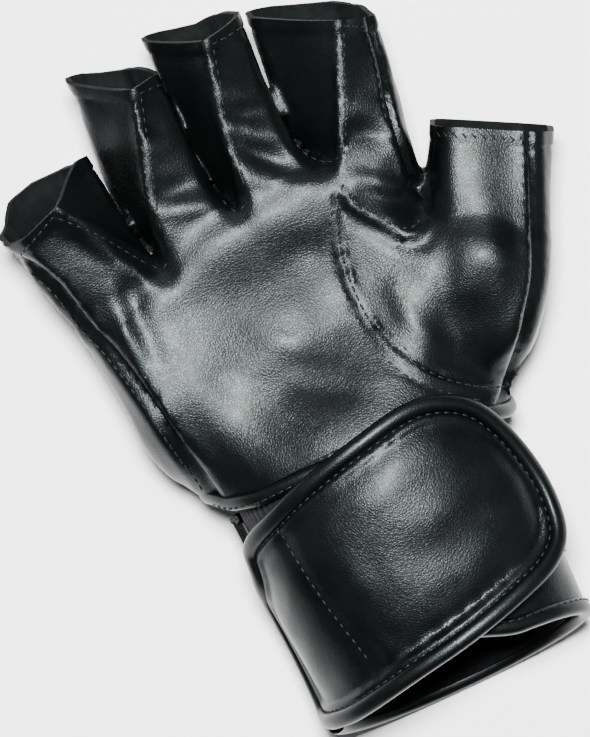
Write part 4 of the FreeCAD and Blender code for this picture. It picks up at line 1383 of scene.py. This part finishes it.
def flap_height(s, y):
    d = flap_d(s, y)
    h = np.interp(d, [0, 4.3, 5.4, 6.2, 6.9, 7.7, 8.7, 12, 20, 34], [-1.5, -1.3, -1.0, -0.1, 0.4, 0.1, -0.45, 0.3, 1.2, 1.7])
    P, _ = flap_pt(s, y, 0 * s)
    dl, sl, _ = d_line2(P[:, 0], y, STRAP_LINE)
    deep = sstep(5.0, 9.0, d)
    left = sstep(-0.5, -3.0, sl) if False else sstep(0.5, 3.0, -sl)
    h = h - 0.8 * bump(dl, 1.0) * deep
    h = h - 0.5 * sstep(1.0, -3.0, sl) * deep * 0
    for pts, a, w in FLAP_FOLDS:
        dd, _, al = d_line2(P[:, 0], y, smooth_line(pts, 10))
        L = np.linalg.norm(np.diff(np.array(pts), axis=0), axis=1).sum()
        h = h + a * bump(dd, w) * deep * (0.4 + 0.6 * np.sin(np.pi * np.clip(al / L, 0.06, 0.94)))
    h = h - 2.1 * deep * sstep(-48.0, -94.0, y)
    return h + deep * (0.28 * vnoise(P, 16.0, 11) + 0.14 * vnoise(P, 6.5, 12)) + 0.1 * vnoise(P, 9.0, 13)


UV, QF = grid(_S[0] + 2, s_of_x(37.5) + 6, -107.0, -18.0, 1.3)
FV = np.column_stack([UV, np.zeros(len(UV))])
FF = tri(QF)


def flat_cut(Vv, Ff, fn, offs, keep_above=False):
    for o in offs:
        g = fn(Vv) - o
        V2, F2, g2, par, _, _ = cut(Vv, Ff, g, np.ones(len(Ff), bool), 0.22)
        Vv, Ff = V2, F2
        if keep_above:
            Ff = Ff[g2[Ff].mean(1) > 0]
            Vv, Ff = compact(Vv, Ff)
    return Vv, Ff


FV, FF = flat_cut(FV, FF, lambda v: flap_d(v[:, 0], v[:, 1]), [2.4], keep_above=True)
FV, FF = flat_cut(FV, FF, lambda v: flap_d(v[:, 0], v[:, 1]), [4.6, 5.4, 6.2, 6.9, 7.7, 8.7])
FV, FF = flat_cut(FV, FF, lambda v: FX + flap_a(th_of_s(v[:, 0])) * np.cos(th_of_s(v[:, 0])) + 12.0, [0.0])
hgt = flap_height(FV[:, 0], FV[:, 1])
FO, FN = flap_pt(FV[:, 0], FV[:, 1], hgt)
FI, _ = flap_pt(FV[:, 0], FV[:, 1], np.full(len(FV), -1.8))
if ((np.cross(FO[FF[:, 1]] - FO[FF[:, 0]], FO[FF[:, 2]] - FO[FF[:, 0]])) * FN[FF[:, 0]]).sum() < 0:
    FF = FF[:, ::-1]
FNO = soften(FO, FF, vertex_normals(FO, FF), 3)
fcx = FO[FF].mean(1)[:, 0]
LEFT = dict(blend=("hand", "strap", np.array([-46.5, -62.0, 58.0]), np.array([-33.0, -62.0, 58.0])))
RIGHT = dict(blend=("strap", "strap_tab", np.array([-4.0, -62.0, 66.0]), np.array([9.0, -62.0, 66.0])))
shell("flap_root_leather_cover", FO, FI, FNO, FF[fcx < -12], "leather", inner=None, replaces=["flap_anchor_leather", "flap_root_leather"], fill=0.6, **LEFT)
shell("flap_tip_leather_cover", FO, FI, FNO, FF[fcx >= -12], "leather", inner=None, replaces=["flap_tip_leather"], fill=0.6, **RIGHT)

UV2, QF2 = grid(_S[0] + 2, s_of_x(37.5) + 6, -107.0, -18.0, 2.4)
GV = np.column_stack([UV2, np.zeros(len(UV2))])
GF = tri(QF2)
GV, GF = flat_cut(GV, GF, lambda v: flap_d(v[:, 0], v[:, 1]), [2.6], keep_above=True)
GV, GF = flat_cut(GV, GF, lambda v: FX + flap_a(th_of_s(v[:, 0])) * np.cos(th_of_s(v[:, 0])) + 12.0, [0.0])


def flap_layer(name, mask_fn, a, b, slot, **kw):
    global GF
    A, n = flap_pt(GV[:, 0], GV[:, 1], np.full(len(GV), a))
    Bp, _ = flap_pt(GV[:, 0], GV[:, 1], np.full(len(GV), b))
    f = GF
    if (np.cross(A[f[:, 1]] - A[f[:, 0]], A[f[:, 2]] - A[f[:, 0]]) * n[f[:, 0]]).sum() < 0:
        f = f[:, ::-1]
    c = A[f].mean(1)
    return shell(name, A, Bp, n, f[mask_fn(c, GV[f].mean(1))], slot, inner=None, **kw)


isL = lambda c, g: c[:, 0] < -12
isR = lambda c, g: c[:, 0] >= -12
flap_layer("flap_root_foam_core", isL, -1.85, -3.0, "foam", replaces=["flap_root_foam"], fill=0.6, **LEFT)
flap_layer("flap_tip_foam_core", isR, -1.85, -3.0, "foam", replaces=["flap_tip_foam"], fill=0.6, **RIGHT)
flap_layer("flap_root_lining_cloth", isL, -3.05, -3.8, "lining", replaces=["flap_root_lining"], **LEFT)
flap_layer("flap_tip_lining_cloth", isR, -3.05, -3.8, "lining", replaces=["flap_tip_lining"], **RIGHT)
def hook_area(v):
    X = flap_pt(v[:, 0], v[:, 1], np.full(len(v), -3.85))[0][:, 0]
    d = np.stack([X - 4.0, 29.0 - X, v[:, 1] + 82.0, -38.0 - v[:, 1], flap_d(v[:, 0], v[:, 1]) - 6.0])
    k = 1.5
    return -k * np.log(np.exp(-d / k).sum(0))


HV, HF = flat_cut(GV, GF, hook_area, [0.0], keep_above=True)
A, hn = flap_pt(HV[:, 0], HV[:, 1], np.full(len(HV), -3.85))
Bp, _ = flap_pt(HV[:, 0], HV[:, 1], np.full(len(HV), -4.9))
if (np.cross(A[HF[:, 1]] - A[HF[:, 0]], A[HF[:, 2]] - A[HF[:, 0]]) * hn[HF[:, 0]]).sum() < 0:
    HF = HF[:, ::-1]
shell("hook_pad", A, Bp, hn, HF, "hook_tape", inner=None, replaces=["hook_patch"], **RIGHT)

# the rolled piping round the flap
_tan = unit(np.roll(FLAP_OUT, -1, 0) - np.roll(FLAP_OUT, 1, 0))
_inw = np.stack([-_tan[:, 1], _tan[:, 0]], 1)
if sd_poly2(np.array([FLAP_OUT[0, 0] + _inw[0, 0]]), np.array([FLAP_OUT[0, 1] + _inw[0, 1]]), FLAP_OUT)[0] > 0:
    _inw = -_inw


def flap_path(d, off, step=1.3):
    q = FLAP_OUT + _inw * d
    for _ in range(3):
        q = 0.25 * np.roll(q, 1, 0) + 0.5 * q + 0.25 * np.roll(q, -1, 0)
    P, n = flap_pt(q[:, 0], q[:, 1], np.full(len(q), off))
    return P, n


def open_runs(P, N, mask):
    """Stretches of a closed path where mask holds, opened at a gap."""
    if mask.all():
        return [(P, N)]
    k = int(np.flatnonzero(~mask)[0])
    P, N, mask = np.roll(P, -k, 0), np.roll(N, -k, 0), np.roll(mask, -k)
    out, i = [], 0
    while i < len(mask):
        if mask[i]:
            j = i
            while j < len(mask) and mask[j]:
                j += 1
            if j - i > 3:
                out.append((P[i:j], N[i:j]))
            i = j
        else:
            i += 1
    return out


def exact_ends(P, N, xs):
    """Returns the path unchanged: it adds no points, and xs is not used."""
    return P, N


BP, BN = flap_path(2.6, -0.35)
# put points of the loop exactly at the split
extra = []
for i in range(len(BP)):
    j = (i + 1) % len(BP)
    if (BP[i, 0] + 12) * (BP[j, 0] + 12) < 0:
        f = (-12 - BP[i, 0]) / (BP[j, 0] - BP[i, 0])
        extra.append((i, BP[i] * (1 - f) + BP[j] * f, unit(BN[i] * (1 - f) + BN[j] * f)))
for i, p, n in sorted(extra, key=lambda e: -e[0]):
    BP, BN = np.insert(BP, i + 1, p, 0), np.insert(BN, i + 1, n, 0)
SEC = oval(2.75, 2.35, 16, 2.2)
for nm, mk, kw, rp in (("flap_root_piping", BP[:, 0] <= -12 + 1e-6, LEFT, ["flap_anchor_binding", "flap_root_binding"]),
                       ("flap_tip_piping", BP[:, 0] >= -12 - 1e-6, RIGHT, ["flap_tip_binding"])):
    (p, n), = open_runs(BP, BN, mk)[:1]
    wob = 1 + 0.04 * vnoise(p, 9.0, 21)
    tube_piece(nm, p + n * (0.12 * vnoise(p, 12.0, 22))[:, None], n, SEC, "piping", replaces=rp, **kw)
say("flap")

# =====================================================================================
# the cuff under the flap
# =====================================================================================
CX, CZ, CA, CB = -14.5, 30.8, 44.5, 29.8


def ring_pt(th, y, off, a=CA, b=CB, cx=CX, cz=CZ):
    n = unit(np.stack([np.cos(th) / a, 0 * th, np.sin(th) / b], 1))
    p = np.stack([cx + a * np.cos(th), y + 0 * th, cz + b * np.sin(th)], 1)
    return p + n * np.reshape(off, (-1, 1)), n


def cuff_end(th):
    a = np.mod(np.degrees(th) + 180.0, 360.0) - 180.0
    return -103.0 + 6.0 * np.sin(th) - 1.0 * np.cos(th) + 5.0 * sstep(58.0, 86.0, a) * (a < 100.0)


def cuff_grid(nth, nt, t0, t1, y_top, y_end):
    T, R = np.meshgrid(np.radians(np.linspace(t0, t1, nth)), np.linspace(0, 1, nt), indexing="ij")
    th, r = T.ravel(), R.ravel()
    y = y_top * (1 - r) + y_end(th) * r
    i, j = np.meshgrid(np.arange(nth - 1), np.arange(nt - 1), indexing="ij")
    k = (i * nt + j).ravel()
    return th, r, y, np.stack([k, k + nt, k + nt + 1, k + 1], 1)


def fix(P, n, f):
    if (np.cross(P[f[:, 1]] - P[f[:, 0]], P[f[:, 2]] - P[f[:, 0]]) * n[f[:, 0]]).sum() < 0:
        f = f[:, ::-1]
    return f


th, r, y, q = cuff_grid(156, 46, -176, 84, -31.6, cuff_end)
edge = np.minimum(np.minimum(r, 1 - r) * 70, np.minimum(th - math.radians(-176), math.radians(84) - th) * 40)
off = np.interp(edge, [0, 2, 8, 20], [-1.0, -0.4, 0.3, 0.8])
P0, _ = ring_pt(th, y, 0 * th)
off = off + 0.35 * vnoise(P0, 15.0, 31) + 0.16 * vnoise(P0, 6.0, 32)
for yy in (-52.0, -76.0):
    off = off - 0.8 * bump(y - yy, 1.1) * sstep(-0.1, -0.5, np.sin(th))
P1, n1 = ring_pt(th, y, off)
P2, _ = ring_pt(th, y, np.full(len(th), -2.3))
f = fix(P1, n1, tri(q))
shell("cuff_leather", P1, P2, vertex_normals(P1, f), f, "leather", inner="lining", ride="hand", replaces=["cuff_band"], fill=0.5)
th, r, y, q = cuff_grid(96, 20, -174, 82, -33.5, lambda t: cuff_end(t) + 2.5)
P1, n1 = ring_pt(th, y, np.full(len(th), -2.35))
P2, _ = ring_pt(th, y, np.full(len(th), -3.6))
f = fix(P1, n1, tri(q))
shell("cuff_foam_core", P1, P2, n1, f, "foam", inner=None, ride="hand", replaces=["cuff_foam"], fill=0.5)
tt = np.radians(np.linspace(-177, 85, 186))
P1, n1 = ring_pt(tt, cuff_end(tt) - 0.6, -1.7 + 0.15 * np.sin(tt * 3))
tube_piece("cuff_binding_strip", P1, n1, oval(2.7, 2.55, 16, 2.4), "piping", ride="hand", replaces=["cuff_binding"])
tt2 = np.radians(np.linspace(-176, 84, 164))
P2, n2 = ring_pt(tt2, np.full(len(tt2), -31.4), -1.9)
tube_piece("cuff_upper_edge", P2, n2, oval(1.5, 1.5, 10), "leather", ride="hand")

# ribbed elastic inside the cuff, all the way round, and the lining under it
th, r, y, q = cuff_grid(241, 34, 0, 360, -25.5, lambda t: cuff_end(t) + 1.6)
rib = 0.30 * np.cos(th * 78) + 0.25 * np.cos(r * 60)
flare = 1.2 * sstep(0.10, 0.0, r)
P1, n1 = ring_pt(th, y, rib + flare, 39.6, 25.2)
P2, _ = ring_pt(th, y, flare - 1.1, 39.6, 25.2)


def close_ring(n_th, n_t, f):
    m = np.arange(n_th * n_t)
    m[(n_th - 1) * n_t:] = np.arange(n_t)
    return m[f]


f = fix(P1, n1, close_ring(241, 34, tri(q)))
shell("wrist_elastic_band", P1, P2, vertex_normals(P1, f), f, "elastic", inner=None, ride="hand", replaces=["wrist_elastic"])
th, r, y, q = cuff_grid(121, 16, 0, 360, -25.0, lambda t: cuff_end(t) + 0.2)
P1, n1 = ring_pt(th, y, 0.2 * vnoise(np.stack([np.cos(th) * 40, y, np.sin(th) * 25], 1), 9.0, 41), 38.2, 23.8)
P2, _ = ring_pt(th, y, -0.7 + 0 * th, 38.2, 23.8)
f = fix(P1, n1, close_ring(121, 16, tri(q)))
shell("cuff_lining_cloth", P1, P2, vertex_normals(P1, f), f, "lining", inner=None, ride="hand", replaces=["cuff_lining"])
th, r, y, q = cuff_grid(30, 34, 6, 58, -42.0, lambda t: -86.0 + 0 * t)
P1, n1 = ring_pt(th, y, 1.75 + 0.15 * vnoise(np.stack([th * 40, y, 0 * y], 1), 1.7, 43))
P2, _ = ring_pt(th, y, 0.7 + 0 * th)
f = fix(P1, n1, tri(q))
shell("loop_pad", P1, P2, vertex_normals(P1, f), f, "loop_pile", inner=None, ride="hand", replaces=["loop_patch"])
say("cuff")

# rolled binding round the wrist end of the hand shell
E = boundary_edges(F)
ids = np.unique(E)
ids = ids[np.abs(wrist_cut(V[ids])) < 0.05]
wp, wn = V[ids] - N0[ids] * 0.55, N0[ids]
ang = np.arctan2((wp[:, 2] - WCZ) / WB, (wp[:, 0] - WCX) / WA)
o = np.argsort(ang)
wp, wn = wp[o], wn[o]
ag = ang[o]
ga = np.linspace(-np.pi, np.pi, 220, endpoint=False)
ext = np.concatenate([ag - 2 * np.pi, ag, ag + 2 * np.pi])
wp = np.stack([np.interp(ga, ext, np.tile(wp[:, k], 3)) for k in range(3)], 1)
wn = unit(np.stack([np.interp(ga, ext, np.tile(wn[:, k], 3)) for k in range(3)], 1))
for _ in range(6):
    wp = 0.25 * np.roll(wp, 1, 0) + 0.5 * wp + 0.25 * np.roll(wp, -1, 0)
    wn = unit(0.25 * np.roll(wn, 1, 0) + 0.5 * wn + 0.25 * np.roll(wn, -1, 0))
wp[:, 1] += 0.6
tube_piece("hand_binding_roll", wp, wn, oval(2.5, 2.0, 14, 2.2), "piping", closed=True, ride="hand", replaces=["hand_binding"])

# =====================================================================================
# stitching
# =====================================================================================


def offset_line(line, d):
    line = np.asarray(line, float)
    t = unit(np.gradient(line, axis=0))
    return line + np.stack([-t[:, 1], t[:, 0]], 1) * d


def leather_run(line, **kw):
    xy = resample(line, 1.0)
    P, N = drop(xy)
    ok = (np.abs(field(P)) < 0.2) & (P[:, 2] > 24) & (N[:, 2] > 0.12)
    if ok.sum() < 4:
        return np.zeros((0, 3)), np.zeros((0, 4), int), np.zeros((0, 3), int)
    P, N = P[ok], N[ok]
    g, b, near = pattern(P, fields(P)[1])
    return stitch_run(P + N * relief(P, N, near, g, b)[:, None], N, **kw)


def clip_y(line, lo, hi):
    line = np.asarray(line)
    return line[(line[:, 1] > lo) & (line[:, 1] < hi)]


thn = [leather_run(clip_y(THENAR_OUT, -33, 60)), leather_run(clip_y(offset_line(THENAR_IN, -0.9), -33, 42)),
       leather_run(THENAR_TOP1[3:-2], pitch=2.8)]
stitch_piece("thenar_stitches", thn, ride="hand", replaces=["thenar_stitching"])
hand_runs = [leather_run(clip_y(offset_line(PALM_L, 2.3), -20, 50), r=0.3)]
U = {"index": [(12.2, 65.0), (14.0, 59.6), (18.2, 55.3), (22.2, 54.6), (25.4, 56.0)], "middle": [(-16.8, 60.0), (-14.4, 55.0), (-12.2, 53.6), (-9.4, 55.2)],
     "ring": [(-45.2, 52.0), (-43.0, 48.4), (-40.6, 48.6), (-39.6, 50.6)]}
for n, l in U.items():
    hand_runs.append(leather_run(smooth_line(l, 20), r=0.3))
stitch_piece("hand_seam_stitches", hand_runs, ride="hand")
# the binding's own row
m = (wp[:, 2] > 34) & (wp[:, 0] < 20)
runs = open_runs(wp + wn * 1.85 + np.array([0, -1.15, 0]), wn, m)
stitch_piece("hand_binding_stitches", [stitch_run(p, n, r=0.3, lift=0.05) for p, n in runs], ride="hand")

for n in FINGERS:
    tb = TUBES[n]
    bl = finger_blend(n)
    d2 = tb.d[:2] / np.linalg.norm(tb.d[:2])
    runs = []
    line = np.array(OPENING[n][0]) - d2 * 2.4
    P, N = drop(resample(line, 0.8))
    g, b, near = pattern(P, fields(P)[1])
    ok = (near == FINGERS.index(n)) & (g > 0.9) & (N[:, 2] > 0.25) & (np.abs(field(P)) < 0.2) & (P[:, 2] > 24)
    if ok.sum() > 4:
        i = np.flatnonzero(ok)
        P, N, g, b, near = P[i], N[i], g[i], b[i], near[i]
        runs.append(stitch_run(P + N * relief(P, N, near, g, b)[:, None], N, pitch=2.9, r=0.32, tilt=0.9 if n == "thumb" else 0.0))
    if n in RIDGE:
        sgn = 1.0 if n == "pinky" else -1.0
        l = offset_line(RIDGE[n], 1.9 * sgn)
        bf = (l[:, 0] - BORDER[n][0][0]) * BORDER[n][1][0] + (l[:, 1] - BORDER[n][0][1]) * BORDER[n][1][1]
        l3 = np.column_stack([l, np.full(len(l), OPENING[n][1])])
        l = l[(bf > 0) & (open_field(l3, n) < -2.0)]
        runs.append(leather_run(l, r=0.3))
    if n == "index":
        l = offset_line(IDX_R, -1.7)
        l3 = np.column_stack([l, np.full(len(l), 48.0)])
        runs.append(leather_run(l[(l[:, 1] > 56) & (open_field(l3, n) < -1.5)], r=0.3))
    if n == "pinky":
        l = offset_line(PALM_L, 2.2)
        runs.append(leather_run(l[(l[:, 1] > 50) & (l[:, 1] < 71)], r=0.3))
    stitch_piece(n + "_stitches", runs, blend=bl)

# the flap's rows
SP, SN = flap_path(5.5, 0.0)
q = FLAP_OUT + _inw * 5.5
for _ in range(3):
    q = 0.25 * np.roll(q, 1, 0) + 0.5 * q + 0.25 * np.roll(q, -1, 0)
SP = SP + SN * flap_height(q[:, 0], q[:, 1])[:, None]
lx = resample(np.array(STRAP_LINE)[1:-1], 1.0)
ls = s_of_x(lx[:, 0])
LP, LN = flap_pt(ls, lx[:, 1], flap_height(ls, lx[:, 1]))
stitch_piece("flap_root_stitches", [stitch_run(p, n, r=0.34, lift=0.12) for p, n in open_runs(SP, SN, SP[:, 0] < -12)]
             + [stitch_run(LP, LN, r=0.34, lift=0.12)], replaces=["flap_stitching"], **LEFT)
stitch_piece("flap_tip_stitches", [stitch_run(p, n, r=0.34, lift=0.12) for p, n in open_runs(SP, SN, SP[:, 0] >= -12)], **RIGHT)
tt = np.radians(np.linspace(-175, 83, 330))
CP, CN = ring_pt(tt, cuff_end(tt) + 0.9, np.full(len(tt), 0.75))
stitch_piece("cuff_binding_stitches", [stitch_run(CP, CN, r=0.32, lift=0.02)], ride="hand")
say("stitches")

# =====================================================================================
# floor, light and camera
# =====================================================================================
lo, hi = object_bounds()


def area(name, loc, target, size, power, color=(1, 1, 1), size_y=None):
    L = bpy.data.lights.new(name, "AREA")
    L.energy = power
    L.color = color
    L.size = size
    if size_y:
        L.shape = "RECTANGLE"
        L.size_y = size_y
    ob = bpy.data.objects.new(name, L)
    ob.location = loc
    d = Vector(target) - Vector(loc)
    ob.rotation_euler = d.to_track_quat("-Z", "Y").to_euler()
    ob.visible_camera = False
    bpy.context.scene.collection.objects.link(ob)
    return ob


me = bpy.data.meshes.new("floor")
R, zf = 3.0, lo.z - 0.0002
me.from_pydata([(-R, -R, zf), (R, -R, zf), (R, R, zf), (-R, R, zf)], [], [(0, 1, 2, 3)])
floor = bpy.data.objects.new("floor", me)
bpy.context.scene.collection.objects.link(floor)
fm, nt, p = node_mat("floor_paper")
co = nt.nodes.new("ShaderNodeTexCoord").outputs["Object"]
link(nt, ramp(nt, noise(nt, co, 6.0, 2.0), [(0.3, (0.90, 0.90, 0.90)), (0.7, (0.93, 0.93, 0.93))]), p.inputs["Base Color"])
p.inputs["Roughness"].default_value = 0.9
p.inputs["Specular IOR Level"].default_value = 0.1
me.materials.append(fm)
floor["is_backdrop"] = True

UP = Vector((0.446, 0.895, 0.0)).normalized()
RT = Vector((0.895, -0.446, 0.0)).normalized()
tgt = Vector(tuple(put((-18.9, 2.5, 45.0))))
Z = Vector((0, 0, 1))
area("key", tgt + UP * 0.24 - RT * 0.04 + Z * 1.6, tgt, 0.28, 130.0)
area("top_strip", tgt + UP * 1.3 - RT * 0.2 + Z * 1.0, tgt, 1.0, 3.5, size_y=0.3)
area("right_strip", tgt + RT * 1.3 - UP * 0.1 + Z * 0.8, tgt, 0.2, 1.6, (0.93, 0.98, 1.0), size_y=1.0)
area("left_strip", tgt - RT * 1.3 + UP * 0.1 + Z * 0.7, tgt, 0.2, 1.2, size_y=1.0)
world = bpy.data.worlds.new("studio")
bpy.context.scene.world = world
world.use_nodes = True
world.node_tree.nodes["Background"].inputs[0].default_value = (1, 1, 1, 1)
world.node_tree.nodes["Background"].inputs[1].default_value = 0.03

cam = bpy.data.cameras.new("camera")
cam_o = bpy.data.objects.new("camera", cam)
bpy.context.scene.collection.objects.link(cam_o)
cam.sensor_width = 36.0
cam.lens = 36.0 * 2.0 / (737 * 0.00031)
cam.clip_start, cam.clip_end = 0.05, 20.0
cam_o.rotation_mode = "QUATERNION"
x_, y_, z_ = UP.cross(Z), UP, Z
from mathutils import Matrix
m3 = Matrix(((x_.x, y_.x, z_.x), (x_.y, y_.y, z_.y), (x_.z, y_.z, z_.z)))
cam_o.location = tgt + Z * 2.0
cam_o.rotation_quaternion = m3.to_quaternion()
bpy.context.scene.camera = cam_o

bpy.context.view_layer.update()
say("faces", sum(len(o.data.polygons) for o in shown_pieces() if o.type == "MESH"))
